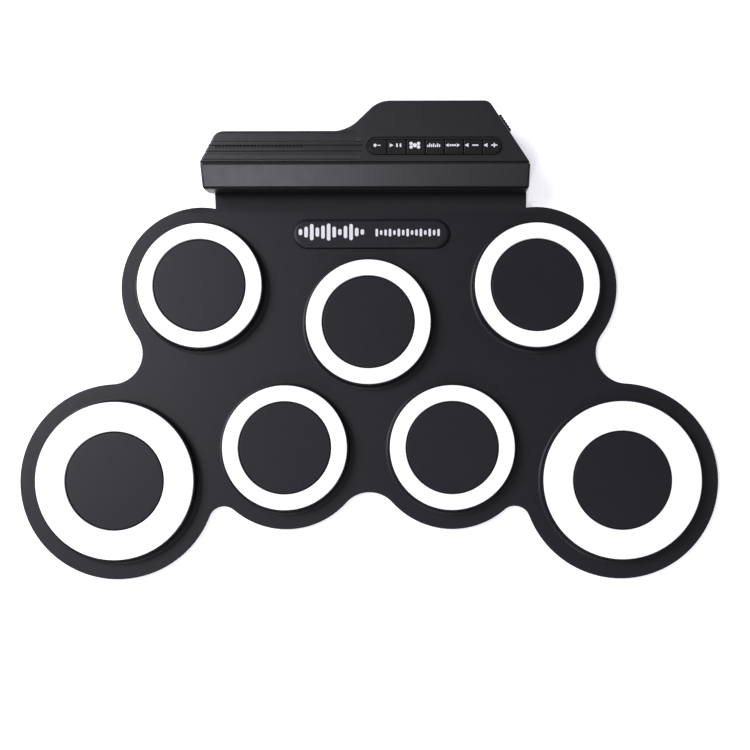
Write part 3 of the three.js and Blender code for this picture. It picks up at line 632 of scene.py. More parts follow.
BOARD = circuit_board()
FILM = grained("flex_film", (0.42, 0.16, 0.03), (0.52, 0.22, 0.05), 0.35, 1400, 0.00001)
KEYPAD = grained("key_rubber", (0.028, 0.028, 0.031), (0.036, 0.036, 0.039), 0.6, 2600, 0.00003)
INNER_FINISHES = {
    FOIL: [f"pad_sensor_{name}" for name in PAD_NAMES],
    FILM: ["flex_circuit"],
    BOARD: ["main_board", "key_board"],
    KEYPAD: ["keypad_membrane"],
    DARK: ["speaker", "flex_connector", "power_switch_body", "mat_clamp_bar"],
}
for finish, nodes in INNER_FINISHES.items():
    for node in nodes:
        cad_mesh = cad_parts[node].data
        cad_mesh.materials.clear()
        cad_mesh.materials.append(finish)

# ------------------------------------------------------------------ mat


def ring_radii(name):
    """The white ring's outer and inner radius."""
    return (50.4, 31.7) if name.startswith("front") else (39.8, 29.8)


def well_radius(name):
    return ring_radii(name)[0] + WELL_MARGIN


def rise_above(p):
    return RAMP_RISE * ease((p[:, 1] - RAMP_START) / (RAMP_END - RAMP_START))


def rise_below(p):
    """The rise of the layers round the flexible circuit, which starts nearer the console."""
    along = (p[:, 1] - UNDER_RAMP_START) / (RAMP_END - UNDER_RAMP_START)
    return RAMP_RISE * np.clip(along, 0, 1)


def mat_sheet():
    """The sheet with its round edge, its wells for the pads, and the crowned lozenge."""
    loops = [mat_outline(d) for d in (0.06, 0.2, 0.4, MAT_EDGE)]
    wells = [
        circle(x, y, well_radius(name), WELL_SEGMENTS) for name, (x, y, _) in LOBES.items()
    ]
    x0, x1 = LOZENGE_X - LOZENGE_LENGTH / 2, LOZENGE_X + LOZENGE_LENGTH / 2
    for d in (-LOZENGE_CROWN, -2.1, -1.6, -1.1, -0.7, -0.4, -0.2, -0.08, -0.02, 0.02):
        loops.append(pill(x0 - d, x1 + d, LOZENGE_Y, LOZENGE_WIDTH + 2 * d, 6))
    lines = cross_lines((*np.arange(RAMP_START, RAMP_END, 1.0), UNDER_RAMP_START, RAMP_END))
    outline = mat_outline(0)

    def height(p):
        inside = distance_inside(p, outline)
        z = MAT_TOP - edge_drop(inside, MAT_EDGE)
        d = pill_distance(p, x0, x1, LOZENGE_Y, LOZENGE_WIDTH)
        rise = LOZENGE_TOP - MAT_TOP
        z += np.where(d < 0, rise - (rise - 0.3) * edge_drop(-d / LOZENGE_CROWN, 1), 0)
        return z + rise_above(p)

    def floor(p):
        return np.column_stack([p, SHEET_BOTTOM + rise_below(p)])

    loops += wells
    mesh = relief(
        "mat_sheet_top",
        outline,
        loops,
        lines,
        hex_grid(-220, 220, -146, 88, 9),
        height,
        floor,
        wells,
    )
    piece("mat_sheet_top", mesh, SILICONE, ROOT, "mat_sheet")


def mat_backing():
    """The thin layer under the whole sheet, a little smaller than it."""
    outline = mat_outline(0.15)
    mesh = relief(
        "mat_backing_sheet",
        outline,
        [mat_outline(0.5)],
        cross_lines((UNDER_RAMP_START, RAMP_END)),
        hex_grid(-220, 220, -146, 88, 30),
        lambda p: BACKING_TOP + rise_below(p),
        lambda p: np.column_stack(
            [p, rise_below(p) + 0.25 * (distance_inside(p, outline) < 0.1)]
        ),
    )
    piece("mat_backing_sheet", mesh, SILICONE, ROOT, "mat_backing")


mat_sheet()
mat_backing()

# ------------------------------------------------------------------ pads


def pad(name):
    """A pad with a soft foot, and its white ring between a groove outside and one inside."""
    x, y, _ = LOBES[name]
    outer, inner = ring_radii(name)
    body = f"pad_{name}"
    wall = outer + PAD_WALL
    foot = well_radius(name) - 0.05
    groove = RING_SEAT - RING_GROOVE
    puck = [(0, 2), (foot - 0.1, 2), (foot, 2.1), (foot, MAT_TOP - 0.1)]
    puck += round_corner(foot, MAT_TOP - 0.02 + foot - wall, foot - wall, 270, 184, 8)
    puck += [(wall - 0.05, PAD_TOP - 1.5)]
    puck += round_corner(wall - 0.25, PAD_TOP - 1.4, 0.2, 10, 90, 3)
    puck += [(outer + 0.55, PAD_TOP - 1.2), (outer + 0.5, groove)]
    puck += [(outer - 0.2, groove), (outer - 0.2, RING_SEAT), (inner + 0.3, RING_SEAT)]
    puck += [(inner + 0.3, groove), (inner - 0.75, groove)]
    puck += round_corner(inner - 0.75 - DISC_EDGE, DISC_TOP - DISC_EDGE, DISC_EDGE, 0, 90, 4)
    puck += [(inner - 3, DISC_TOP), (0, DISC_TOP)]
    mesh = turned("puck", puck, x, y, PAD_SEGMENTS)
    piece(f"pad_puck_{name}", mesh, PAD_SILICONE, body, f"pad_body_{name}")
    band = [(inner, RING_SEAT + 0.05), (outer, RING_SEAT + 0.05)]
    band += round_corner(outer - RING_EDGE, PAD_TOP - RING_EDGE, RING_EDGE, 0, 90)
    band += round_corner(inner + RING_EDGE, PAD_TOP - RING_EDGE, RING_EDGE, 90, 180)
    mesh = turned("band", band, x, y, PAD_SEGMENTS)
    piece(f"pad_band_{name}", mesh, WHITE, body, f"pad_ring_{name}")


for pad_name in PAD_NAMES:
    pad(pad_name)

# ------------------------------------------------------------------ console


TO_CONSOLE = Matrix.Translation((0, CONSOLE_FRONT * MM, 0))


def to_world(points):
    return [(x, y + CONSOLE_FRONT, *rest) for x, y, *rest in points]


def bevel_plane(y):
    """The height of the front bevel, and of the flat top behind it."""
    return np.minimum(CONSOLE_TOP, BEVEL_LOW + y * (CONSOLE_TOP - BEVEL_LOW) / BEVEL_RUN)


BEVEL_LENGTH = math.hypot(BEVEL_RUN, CONSOLE_TOP - BEVEL_LOW)
BEVEL_COS = BEVEL_RUN / BEVEL_LENGTH
BEVEL_SIN = (CONSOLE_TOP - BEVEL_LOW) / BEVEL_LENGTH
FASCIA_LOW = 0.35
FASCIA_HIGH = BEVEL_LENGTH + 0.05
FASCIA_END_INSET = 0.8
FASCIA_CORNER = 1.2
FASCIA_LEFT = LEFT_END + FASCIA_END_INSET
FASCIA_RIGHT = RIGHT_END - FASCIA_END_INSET
JUNCTION = (12.1, 13.6)
JUNCTION_DEPTH = 1.4
COVER_EDGE = 1.6
COVER_WALL = 2
COVER_LEAN = 2.1
FASCIA_SEAT = 1.5
PORT_RADIUS = 3.1
PORT_GAP = 0.3


def lean_cut(front, z):
    """A rectangle that covers the console's plan up to a front line, at a height."""
    return at_height(rectangle(-120, 120, -5, front), z)


def top_cover():
    """The cover: bevel, grooves with crowned ribs, sound holes, key recess and fascia seat."""
    outline = rounded(OUTLINE, 6)
    loops = [rounded(shrunk(OUTLINE, d), 6) for d in (0.06, 0.25, 0.6, 1.0, COVER_EDGE)]
    lines = cross_lines((BEVEL_RUN, *JUNCTION, JUNCTION[1] + 0.1, JUNCTION[1] + 0.4))
    for low, high in RIBS:
        lines += cross_lines(np.linspace(low, high, 8)[1:-1], GROOVE_END)
    lines += [((GROOVE_END - d, 13), (GROOVE_END - d, 40)) for d in (1, 2, 3, RIB_FADE)]
    for row in GROOVE_ROWS:
        for s in (-GROOVE_SOFT, 0, GROOVE_SOFT):
            half = GROOVE_HALF + s
            loops.append(rectangle(LEFT_END - 5, GROOVE_END + s, row - half, row + half))
    first, last, pitch = SOUND_HOLES
    holes_at = np.arange(first, last, pitch)
    for x in holes_at:
        loops += [
            circle(x, SOUND_HOLE_ROW, SOUND_HOLE_RADIUS + d, 10) for d in (-0.04, 0.04)
        ]
    for d in (0.3, 0.1, -0.1, -0.8, -0.84):
        loops.append(pill(STRIP_LEFT - d, STRIP_RIGHT + d, STRIP_Y, STRIP_WIDTH + 2 * d))
    recess = []
    for d in (0.2, 0.17):
        low, high = (FASCIA_LOW - d) * BEVEL_COS, (FASCIA_HIGH + d) * BEVEL_COS
        recess.append(rectangle(FASCIA_LEFT - d, FASCIA_RIGHT + d, low, high))
    loops += recess

    def height(p):
        x, y = p[:, 0], p[:, 1]
        z = bevel_plane(y) - edge_drop(distance_inside(p, outline), COVER_EDGE)
        for row, depth in zip(GROOVE_ROWS, GROOVE_DEPTH):
            s = np.maximum(np.abs(y - row) - GROOVE_HALF, x - GROOVE_END)
            z -= depth * ease((GROOVE_SOFT - s) / (2 * GROOVE_SOFT))
        for low, high in RIBS:
            across = 2 * np.abs(y - (low + high) / 2) / (high - low)
            crown = RIB_CROWN * (high - low) * np.minimum(across, 1) ** 2
            on_rib = np.abs(y - (low + high) / 2) < (high - low) / 2 + 0.3
            z -= crown * on_rib * ease((GROOVE_END - x) / RIB_FADE)
        past = y - JUNCTION[1]
        slot = np.where(past < 0.05, JUNCTION_DEPTH, 0.15 * (1 - ease((past - 0.1) / 0.3)))
        z -= slot * (y > BEVEL_RUN - 0.01)
        near = np.min(np.abs(x[:, None] - holes_at[None, :]), axis=1)
        in_hole = np.hypot(near, y - SOUND_HOLE_ROW) < SOUND_HOLE_RADIUS
        z -= np.where(in_hole, SOUND_HOLE_DEPTH, 0)
        d = pill_distance(p, STRIP_LEFT, STRIP_RIGHT, STRIP_Y, STRIP_WIDTH)
        z -= STRIP_DEPTH * ease((0.3 - d) / 0.4)
        z = np.where(d < -0.82, WINDOW_FLOOR, z)
        in_recess = distance_inside(p, recess[1]) > -0.01
        return np.where(in_recess, z - FASCIA_SEAT / BEVEL_COS, z)

    def floor(p):
        lean = COVER_LEAN * np.clip(1 - p[:, 1] / BEVEL_RUN, 0, 1)
        return np.column_stack([p[:, 0], p[:, 1] + lean, np.full(len(p), 6.0)])

    mesh = relief(
        "top_cover_shell",
        outline,
        loops,
        lines,
        hex_grid(-100, 98, 2, 50, 9),
        height,
        floor,
    )
    inner = rounded(shrunk(OUTLINE, COVER_WALL), 12)
    fronts = [lean_cut(4.2, 4), lean_cut(4.2, 19), lean_cut(15.5, 28.9), lean_cut(16.7, 30)]
    cavity = carve(
        loft("cavity", [at_height(inner, 5), at_height(inner, 29)]),
        ("-", loft("front", fronts)),
    )
    under = sharp_box(-110, 110, 4.4, 60, 5, 12.3)
    cutters = [under, cavity, *rear_ports(), switch_slot()]
    mesh = carve(mesh, *[("-", cutter) for cutter in cutters])
    mesh.transform(TO_CONSOLE)
    piece("top_cover_shell", mesh, CASE, ROOT, "top_cover")


def usb_face(margin):
    """The USB socket's left, right, bottom and top, grown by a margin."""
    low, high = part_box("usb_socket")
    return (
        low.x / MM - margin,
        high.x / MM + margin,
        low.z / MM - margin,
        high.z / MM + margin,
    )


def rear_ports():
    """Cutters for the sockets in the rear wall, flared where they meet its face."""
    levels = [
        (HIGH_DEPTH + past, flare) for past, flare in ((-3, 0), (-0.4, 0), (-0.1, 0.12), (0.3, 0.5))
    ]
    ports = []
    for node in JACK_NAMES:
        x = middle(node)[0]
        rings = [
            [(px, y, pz) for px, pz in circle(x, JACK_AXIS, PORT_RADIUS + flare, 32)]
            for y, flare in levels
        ]
        ports.append(loft("port", rings))
    shape = round_box(*usb_face(PORT_GAP), 0.8, 15)
    ports.append(
        loft("port", [[(px, y, pz) for px, pz in inset(shape, -flare)] for y, flare in levels])
    )
    return ports


SLOPE_START = Vector(OUTLINE[2][:2])
SLOPE_ALONG = (Vector(OUTLINE[3][:2]) - SLOPE_START).normalized()
SWITCH_PLACE = SLOPE_START + SLOPE_ALONG * 30.5
SWITCH_Z = 25


def on_slope(out, along, z):
    """A point beside the power switch: out of the wall, along it to the rear, and up."""
    p = SWITCH_PLACE + SLOPE_ALONG * along
    return (p.x + SLOPE_ALONG.y * out, p.y - SLOPE_ALONG.x * out, SWITCH_Z + z)


def switch_slot():
    """A cutter through the sloping wall, as long as the switch's neck and its travel."""
    shape = round_box(-2.3, 5.3, -1.2, 1.2, 0.6, 15)
    return loft("slot", [[on_slope(out, a, z) for a, z in shape] for out in (-4, 1)])


def front_fascia():
    """The strip let into the bevel, with a round edge."""
    plan = rectangle(FASCIA_LEFT, FASCIA_RIGHT, FASCIA_LOW, FASCIA_HIGH)
    corners = [(x, u, FASCIA_CORNER) for x, u in plan]

    def level(d, depth):
        return [
            (x, u * BEVEL_COS + depth * BEVEL_SIN, BEVEL_LOW + u * BEVEL_SIN - depth * BEVEL_COS)
            for x, u in rounded(shrunk(corners, d), 15)
        ]

    edge = ((0, 1.2), (0, 0.9), (0.04, 0.62), (0.15, 0.38), (0.35, 0.17), (0.6, 0.04), (0.9, 0))
    rings = [level(d, depth) for d, depth in edge]
    mesh = loft("front_fascia_strip", [to_world(r) for r in rings])
    piece("front_fascia_strip", mesh, FASCIA, ROOT, "front_fascia")


# The battery bay's left, right and front.
BAY = (17, 70, 15.3)
SCREWS = ((-88, 19, 20), (-22, 19, 65), (91, 16, -15), (7, 39, 40))
FEET = ((-92, 9), (91, 7.5), (-74, 25), (78, 35))
CHEEK = 96.5
BASE_TOP = 12
BASE_FLOOR = 2.4
PAST_TOP = 13


def base_shell():
    """The tray: its leaning front, the battery bay, screw posts and foot seats."""
    bay_left, bay_right, bay_front = BAY
    rear = HIGH_DEPTH - 2.3
    inner = shrunk(OUTLINE, COVER_WALL)
    inner[0] = (inner[0][0], 5.2, 0.4)
    inner[1] = (inner[1][0], 5.2, 0.4)
    plan = rounded(inner, 10)
    steps = [
        ("-", loft("lean", [lean_cut(4, 0), lean_cut(2.2, 7), lean_cut(2.2, PAST_TOP)])),
        ("-", sharp_box(-120, 120, 0, 4.8, 5.7, PAST_TOP)),
        ("-", sharp_box(-CHEEK, CHEEK, 0, 5.3, BASE_FLOOR, PAST_TOP)),
        ("-", loft("cavity", [at_height(plan, BASE_FLOOR), at_height(plan, PAST_TOP)])),
        ("+", sharp_box(bay_left - 2.5, bay_right + 2.5, bay_front - 1.5, rear, 1, 14.4)),
    ]
    steps += [("+", post(x, y, 3.6, 1, 11.7)) for x, y, _ in SCREWS]
    steps += [
        ("-", sharp_box(bay_left - 1, bay_right + 1, bay_front, rear + 0.2, BASE_FLOOR, 13.2)),
        ("-", sharp_box(bay_left + 2, bay_right - 2, bay_front, 60, 0, 3.4)),
        ("-", sharp_box(bay_left, bay_right, bay_front, 60, 1.2, 2.41)),
    ]
    for x, y, _ in SCREWS:
        pocket = [(2.95, 0.5), (2.95, 0.6), (2.8, 0.75), (2.8, 2.7), (1.6, 2.7), (1.6, 13)]
        rings = [at_height(circle(x, y, r, 40), z) for r, z in pocket]
        steps.append(("-", loft("pocket", rings)))
    steps += [("-", post(x, y, 4.5, 0, 1.3)) for x, y in FEET]
    corners = list(OUTLINE)
    corners[0] = (LEFT_END, 0, 6)
    corners[1] = (RIGHT_END, 0, 6)
    tray = soft_slab("base_shell_tray", rounded(corners, 6), 0.6, BASE_TOP, 0.9, 0.25)
    mesh = carve(tray, *steps)
    mesh.transform(TO_CONSOLE)
    piece("base_shell_tray", mesh, CASE, ROOT, "base_shell")


def battery_door():
    """A flanged panel with finger grooves and an arrow."""
    x0, x1, front = BAY
    middle = (x0 + x1) / 2
    panel = block("battery_door_panel", x0 + 2.3, x1 - 2.3, front + 0.3, 51.5, 0.6, 2.1)
    steps = [("+", block("flange", x0 + 0.3, x1 - 0.3, front + 0.5, 51.2, 1.5, 2.1, 0.1))]
    for i in range(3):
        y = 47 - 2 * i
        rings = [
            at_height(pill(middle - 8 - d, middle + 8 + d, y, 1 + 2 * d), z)
            for z, d in ((0.4, 0.2), (0.6, 0.12), (0.72, 0), (1.0, -0.1))
        ]
        steps.append(("-", loft("grip", rings)))
    arrow = [(middle - 3, 36, 0.4), (middle + 3, 36, 0.4), (middle, 40.5, 0.4)]
    rings = [at_height(inset(rounded(arrow, 30), d), z) for z, d in ((0.4, 0), (0.9, 0.1))]
    steps.append(("-", loft("arrow", rings)))
    mesh = carve(panel, *steps)
    mesh.transform(TO_CONSOLE)
    piece("battery_door_panel", mesh, CASE, "battery_door", "battery_door")


def power_switch_knob():
    """A ridged grip outside the wall, and the neck that carries it."""
    stations = [(-6, 0.5, 0), (-5.85, 0.2, 0), (-5.55, 0.05, 0), (-5.2, 0, 0)]
    for ridge in (-4, -2, 0, 2, 4):
        stations += [(ridge - 0.45, 0, 0), (ridge - 0.22, 0, 0.4)]
        stations += [(ridge + 0.22, 0, 0.4), (ridge + 0.45, 0, 0)]
    stations += [(5.2, 0, 0), (5.55, 0.05, 0), (5.85, 0.2, 0), (6, 0.5, 0)]
    rings = []
    for along, small, dip in stations:
        out, half = 2.3 - small - dip, 2 - small
        plan = [(0.3, -half, 0.2), (out, -half, 0.5), (out, half, 0.5), (0.3, half, 0.2)]
        rings.append([(x, along, z) for x, z in rounded(plan, 22.5)])
    neck = block("neck", -3.4, 1, -2, 2, -0.9, 0.9, 0.2)
    mesh = carve(loft("power_switch_grip", rings), ("+", neck))
    place = Vector((SWITCH_PLACE.x, SWITCH_PLACE.y, SWITCH_Z)) * MM
    turn = Matrix.Rotation(math.atan2(-SLOPE_ALONG.x, SLOPE_ALONG.y), 4, "Z")
    mesh.transform(TO_CONSOLE @ Matrix.Translation(place) @ turn)
    piece("power_switch_grip", mesh, KEY, "power_switch", "power_switch_knob")


def feet():
    """Round rubber feet with a shallow dish under each."""
    profile = [(0, 0.2), (2.5, 0.2), (2.8, 0.05), (3.1, 0), (3.6, 0)]
    profile += round_corner(3.6, 0.6, 0.6, -60, 0, 4) + [(4.2, 1.1), (0, 1.1)]
    for number, (x, y) in enumerate(FEET, 1):
        mesh = turned("foot_pad", profile, x, y + CONSOLE_FRONT, 48)
        piece(f"foot_pad_{number}", mesh, RUBBER, ROOT, f"foot_{number}")


def screws():
    """Cross-head case screws, each turned its own way."""
    profile = [(0, 1), (1.9, 1), (2.25, 1.1), (2.45, 1.3), (2.5, 1.6), (2.5, 2.4)]
    profile += [(1.3, 2.4), (1.3, 11.6), (0, 12.2)]
    for number, (x, y, angle) in enumerate(SCREWS, 1):
        arms = []
        for turn in (0, 90):
            spin = Matrix.Rotation(math.radians(turn), 4, "Z")
            taper = ((1.5, 0.4, 0.9), (1.4, 0.36, 1.1), (0.5, 0.12, 2.0))
            arm = loft("arm", [at_height(rectangle(-a, a, -b, b), z) for a, b, z in taper])
            arm.transform(spin)
            arms.append(("-", arm))
        mesh = carve(turned("case_screw", profile, 0, 0, 40), *arms)
        place = Matrix.Translation((x * MM, y * MM, 0))
        mesh.transform(TO_CONSOLE @ place @ Matrix.Rotation(math.radians(angle), 4, "Z"))
        piece(f"screw_{number}", mesh, STEEL, ROOT, f"case_screw_{number}", 30)


LIE_BACK = Matrix.Rotation(-math.pi / 2, 4, "X")


def jacks():
    """Sockets with a round barrel that ends in the rear wall, and a housing behind it."""
    cup = [(0, 39), (2.8, 39), (2.8, 51.25), (2.72, 51.45), (2.5, 51.6), (2.1, 51.6)]
    cup += [(1.88, 51.45), (1.8, 51.2), (1.8, 40), (0, 40)]
    for node in JACK_NAMES:
        x = middle(node)[0]
        barrel = turned("barrel", cup, 0, 0, 48)
        bore = loft("bore", [at_height(circle(0, 0, 1.8, 48), z) for z in (40, 53)])
        for shape in (barrel, bore):
            shape.transform(Matrix.Translation((x * MM, 0, JACK_AXIS * MM)) @ LIE_BACK)
        housing = block("jack", x - 3.5, x + 3.5, 37, 49.5, 16.85, 22.35)
        mesh = carve(housing, ("+", barrel), ("-", bore))
        mesh.transform(TO_CONSOLE)
        piece(f"{node}_housing", mesh, DARK, ROOT, node)


def usb_socket():
    """A steel shell round a dark tongue."""
    x0, x1, z0, z1 = usb_face(0)
    shape = round_box(x0, x1, z0, z1, 1, 15)
    levels = ((43, 0), (51.5, 0), (51.6, 0.08), (51.6, 0.25), (51.45, 0.35), (44, 0.35))
    rings = [[(x, y, z) for x, z in inset(shape, d)] for y, d in levels]
    mesh = loft("usb_shell", rings)
    mesh.transform(TO_CONSOLE)
    piece("usb_shell", mesh, STEEL, ROOT, "usb_socket", 30)
    z = (z0 + z1) / 2
    tongue = block("usb_tongue", x0 + 1.6, x1 - 1.6, 43.5, 50.1, z - 0.35, z + 0.35, 0.1)
    tongue.transform(TO_CONSOLE)
    piece("usb_tongue", tongue, DARK, ROOT, "usb_socket")


BAND_START = 8
BARE_END_RADIUS = 4.7


def battery_cells():
    """Three cells with a wrapped body, a band and a bare nub, lying alternate ways."""
    profile = [(0, -22.25), (4.3, -22.25), (4.9, -22.1), (5.2, -21.8), (5.25, -21.4)]
    profile += [(5.25, 8), (5.25, 20.6), (5.1, 20.95), (4.6, 21.1), (2.1, 21.1)]
    profile += [(1.9, 21.3), (1.9, 22), (1.65, 22.25), (0, 22.25)]
    for number in (1, 2, 3):
        low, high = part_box(f"battery_cell_{number}")
        mesh = turned("battery_cell", profile, 0, 0, 48)
        for finish in (CELL_WRAP, CELL_BAND, STEEL):
            mesh.materials.append(finish)
        for polygon in mesh.polygons:
            reach = math.hypot(polygon.center.x, polygon.center.y) / MM
            banded = polygon.center.z / MM > BAND_START
            polygon.material_index = 2 if reach <= BARE_END_RADIUS else int(banded)
        side = math.pi / 2 if number % 2 else -math.pi / 2
        middle = Matrix.Translation((low + high) / 2)
        mesh.transform(middle @ Matrix.Rotation(side, 4, "Y"))
        piece(f"cell_{number}", mesh, None, ROOT, f"battery_cell_{number}")


def tube(name, path, radius, sides=8):
    """A closed round wire along a path."""
    points = [Vector(p) for p in path]
    rings = []
    normal = None
    for i, point in enumerate(points):
        ahead = points[min(i + 1, len(points) - 1)] - points[max(i - 1, 0)]
        ahead.normalize()
        if normal is None:
            normal = ahead.orthogonal().normalized()
        normal = (normal - ahead * normal.dot(ahead)).normalized()
        across = ahead.cross(normal)
        ring = []
        for k in range(sides):
            a = 2 * math.pi * k / sides
            aside = normal * radius * math.cos(a) + across * radius * math.sin(a)
            ring.append(tuple(point + aside))
        rings.append(ring)
    return loft(name, rings)


def battery_contacts():
    """At each end of the cells: a sprung strip, with a coil pressing on every cell."""
    for side, end in (("left", -1), ("right", 1)):
        node = f"battery_contact_{side}"
        low, high = (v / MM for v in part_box(node))
        face = low.x + 0.6 if end < 0 else high.x - 0.6
        x0, x1 = sorted((face, face + end * 0.6))
        strip = block("contact_strip", x0, x1, low.y, high.y, low.z, high.z, 0.15)
        piece(f"contact_strip_{side}", strip, STEEL, ROOT, node)
        for number in (1, 2, 3):
            cell_low, cell_high = (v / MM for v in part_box(f"battery_cell_{number}"))
            centre = (cell_low + cell_high) / 2
            path = []
            for i in range(43):
                a = 2 * math.pi * i / 14
                radius = 2 - 0.7 * i / 42
                path.append(
                    (
                        face - end * (0.2 + 1.4 * i / 42),
                        centre.y + radius * math.cos(a),
                        centre.z + radius * math.sin(a),
                    )
                )
            coil = tube("contact_coil", path, 0.22)
            piece(f"contact_coil_{side}_{number}", coil, STEEL, ROOT, node)


top_cover()
front_fascia()
base_shell()
battery_door()
power_switch_knob()
feet()
screws()
jacks()
usb_socket()
battery_cells()
battery_contacts()

# ------------------------------------------------------------------ keys


def key_outline(i, gap):
    """One key's plan outline. The end keys follow the window's round ends."""
    margin = (STRIP_WIDTH - WINDOW_WIDTH) / 2 + KEY_GAP + gap
    half_width = STRIP_WIDTH / 2 - margin
    x = FIRST_KEY_X + KEY_PITCH * i
    x0 = x - KEY_PITCH / 2 + KEY_GAP / 2 + gap
    x1 = x + KEY_PITCH / 2 - KEY_GAP / 2 - gap
    small = 0.6
    if i == 0:
        x0 = STRIP_LEFT + margin
    if i == len(KEY_NAMES) - 1:
        x1 = STRIP_RIGHT - margin
    left = half_width - 0.01 if i == 0 else small
    right = half_width - 0.01 if i == len(KEY_NAMES) - 1 else small
    y0, y1 = STRIP_Y - half_width, STRIP_Y + half_width
    return rounded([(x0, y0, left), (x1, y0, right), (x1, y1, right), (x0, y1, left)], 10)


def key_cap(i, name):
    """A cap with a round edge, on the key's outline."""
    base = key_outline(i, 0)
    edge = ((0, KEY_TOP - KEY_LOW), (0, 0.45), (0.1, 0.2), (0.28, 0.05), (0.46, 0), (0.55, 0))
    rings = [to_world(at_height(inset(base, d), KEY_TOP - depth)) for d, depth in edge]
    piece(f"key_cap_{name}", loft("key_cap", rings), KEY, f"key_{name}", f"key_{name}")


def symbol(name, shapes, z, body, ink):
    """Printed marks: thin closed prisms, each from a plan outline."""
    vertices, faces = [], []
    for shape in shapes:
        first, count = len(vertices), len(shape)
        vertices += at_height(shape, z) + at_height(shape, z + 0.03)
        faces.append(tuple(range(first + count - 1, first - 1, -1)))
        faces.append(tuple(range(first + count, first + 2 * count)))
        for i in range(count):
            j = (i + 1) % count
            faces.append((first + i, first + j, first + count + j, first + count + i))
    mesh = mesh_of(name, vertices, faces)
    piece(name, mesh, ink, body)


def key_symbols(name, x, y):
    """Simple pictograms, centred on a key."""
    if name == "record":
        return [circle(x - 1.1, y, 1.0, 24), rectangle(x + 0.5, x + 2.2, y - 0.3, y + 0.3)]
    if name == "play":
        triangle = [(x - 3.8, y - 1.15), (x - 1.4, y), (x - 3.8, y + 1.15)]
        return [triangle] + [rectangle(x + i, x + i + 1.0, y - 1.1, y + 1.1) for i in (0.2, 2.4)]
    if name == "kit":
        shapes = [circle(x + i, y + j, 1.05, 20) for i in (-2.3, 2.3) for j in (-1.1, 1.1)]
        return shapes + [circle(x, y, 1.3, 20)]
    if name == "rhythm":
        heights = (1.3, 2.2, 1.6, 2.2, 1.3, 2.2, 1.6)
        return [
            rectangle(x - 4.1 + 1.2 * i, x - 3.3 + 1.2 * i, y - 1.1, y - 1.1 + h)
            for i, h in enumerate(heights)
        ]
    if name == "tempo":
        left = [(x - 4.4, y), (x - 2.5, y - 1.15), (x - 2.5, y + 1.15)]
        right = [(x + 4.4, y), (x + 2.5, y + 1.15), (x + 2.5, y - 1.15)]
        return [left, right] + [circle(x + i, y, 0.65, 16) for i in (-1.4, 0, 1.4)]
    horn = [(-4.1, -0.5), (-3.4, -0.5), (-2.0, -1.25), (-2.0, 1.25), (-3.4, 0.5), (-4.1, 0.5)]
    shapes = [[(x + i, y + j) for i, j in horn], rectangle(x + 0.3, x + 4.1, y - 0.4, y + 0.4)]
    if name == "volume_up":
        shapes += [rectangle(x + 1.8, x + 2.6, y - 1.3, y - 0.42)]
        shapes += [rectangle(x + 1.8, x + 2.6, y + 0.42, y + 1.3)]
    return shapes


for index, key_name in enumerate(KEY_NAMES):
    key_cap(index, key_name)
    key_x = FIRST_KEY_X + KEY_PITCH * index - 0.5 - 0.1 * index
    key_y = CONSOLE_FRONT + STRIP_Y + 0.8
    symbol(
        f"key_mark_{key_name}",
        key_symbols(key_name, key_x, key_y),
        KEY_TOP + 0.002,
        f"key_{key_name}",
        PRINT,
    )

# ------------------------------------------------------------------ marks on the lozenge


WAVE = (4, 7, 10.5, 6, 8.5, 11, 7, 4, 8, 10.5, 5.5, 3.5)
BEATS = (5, 3, 4, 5, 3, 5, 3.6, 5, 3, 4, 5, 3, 5, 3.6, 4.6)


def upright_pill(x, y, width, height):
    r = width / 2
    reach = max(height / 2 - r, 0.01)
    return arc(x, y + reach, r, 0, math.pi, 15) + arc(x, y - reach, r, math.pi, 2 * math.pi, 15)


def bar_row(name, heights, x, y, pitch, width):
    """A row of upright round-ended bars, printed on the lozenge."""
    bars = [upright_pill(x + pitch * i, y, width, h) for i, h in enumerate(heights)]
    symbol(name, bars, LOZENGE_TOP - 0.01, ROOT, PRINT)


bar_row("lozenge_pattern_left", WAVE, -43.9, 74.3, 3.62, 2.3)
bar_row("lozenge_pattern_right", BEATS, 5.2, 73.9, 2.84, 1.6)

# ------------------------------------------------------------------ camera, floor and lights

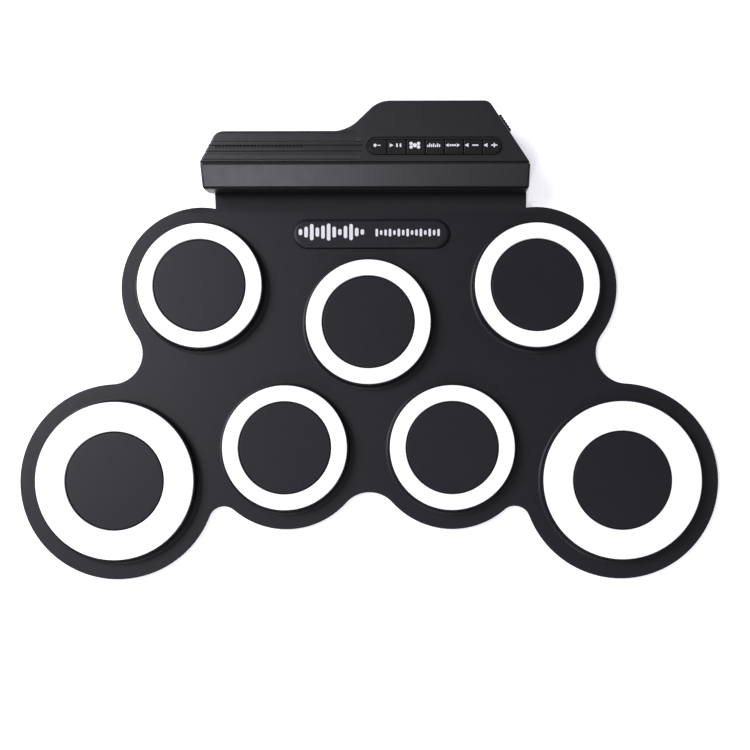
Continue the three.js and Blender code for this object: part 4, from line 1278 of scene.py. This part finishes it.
camera = bpy.data.objects.new("camera", bpy.data.cameras.new("camera"))
bpy.context.scene.collection.objects.link(camera)
camera.location = (0.0380, -0.1173, 0.650)
camera.rotation_euler = (math.radians(0.66), 0, math.radians(-0.1))
camera.data.lens = 48.23
camera.data.shift_x = -0.071
camera.data.shift_y = 0.1907
camera.data.clip_start = 0.01
bpy.context.scene.camera = camera


def area_light(name, place, target, size, power, color):
    data = bpy.data.lights.new(name, "AREA")
    data.shape = "RECTANGLE"
    data.size, data.size_y = size
    data.energy = power
    data.color = color
    obj = bpy.data.objects.new(name, data)
    bpy.context.scene.collection.objects.link(obj)
    obj.location = place
    obj.rotation_euler = (Vector(target) - Vector(place)).to_track_quat("-Z", "Y").to_euler()


area_light("key_light", (-1.2, 0.5, 1.35), (0, 0, 0), (0.9, 0.9), 39, (1.0, 0.98, 1.05))
area_light("front_light", (-0.50, -1.66, 1.28), (0, 0, 0), (0.25, 0.25), 11.5, (1.0, 0.98, 1.055))
area_light("fill_light", (0.0, -0.75, 1.85), (0, 0, 0), (1.0, 1.0), 4.5, (1.0, 0.98, 1.055))

world = bpy.data.worlds.new("studio")
bpy.context.scene.world = world
world.use_nodes = True
world.node_tree.nodes["Background"].inputs["Color"].default_value = (0.93, 0.94, 1.0, 1)
world.node_tree.nodes["Background"].inputs["Strength"].default_value = 0.3
bpy.context.scene.view_settings.view_transform = "Standard"

floor_mesh = bpy.data.meshes.new("floor")
floor_mesh.from_pydata([(-4, -4, 0), (4, -4, 0), (4, 4, 0), (-4, 4, 0)], [], [(0, 1, 2, 3)])
studio_floor = bpy.data.objects.new("floor", floor_mesh)
bpy.context.scene.collection.objects.link(studio_floor)
studio_floor.location.z = -0.0002
floor_paper = grained("floor_paper", (0.88, 0.88, 0.89), (0.90, 0.90, 0.91), 0.9, 400, 0.00002, 0.0)
glow = floor_paper.node_tree.nodes["Principled BSDF"].inputs
glow["Emission Color"].default_value = (0.96, 0.96, 1, 1)
glow["Emission Strength"].default_value = 0.5
floor_mesh.materials.append(floor_paper)
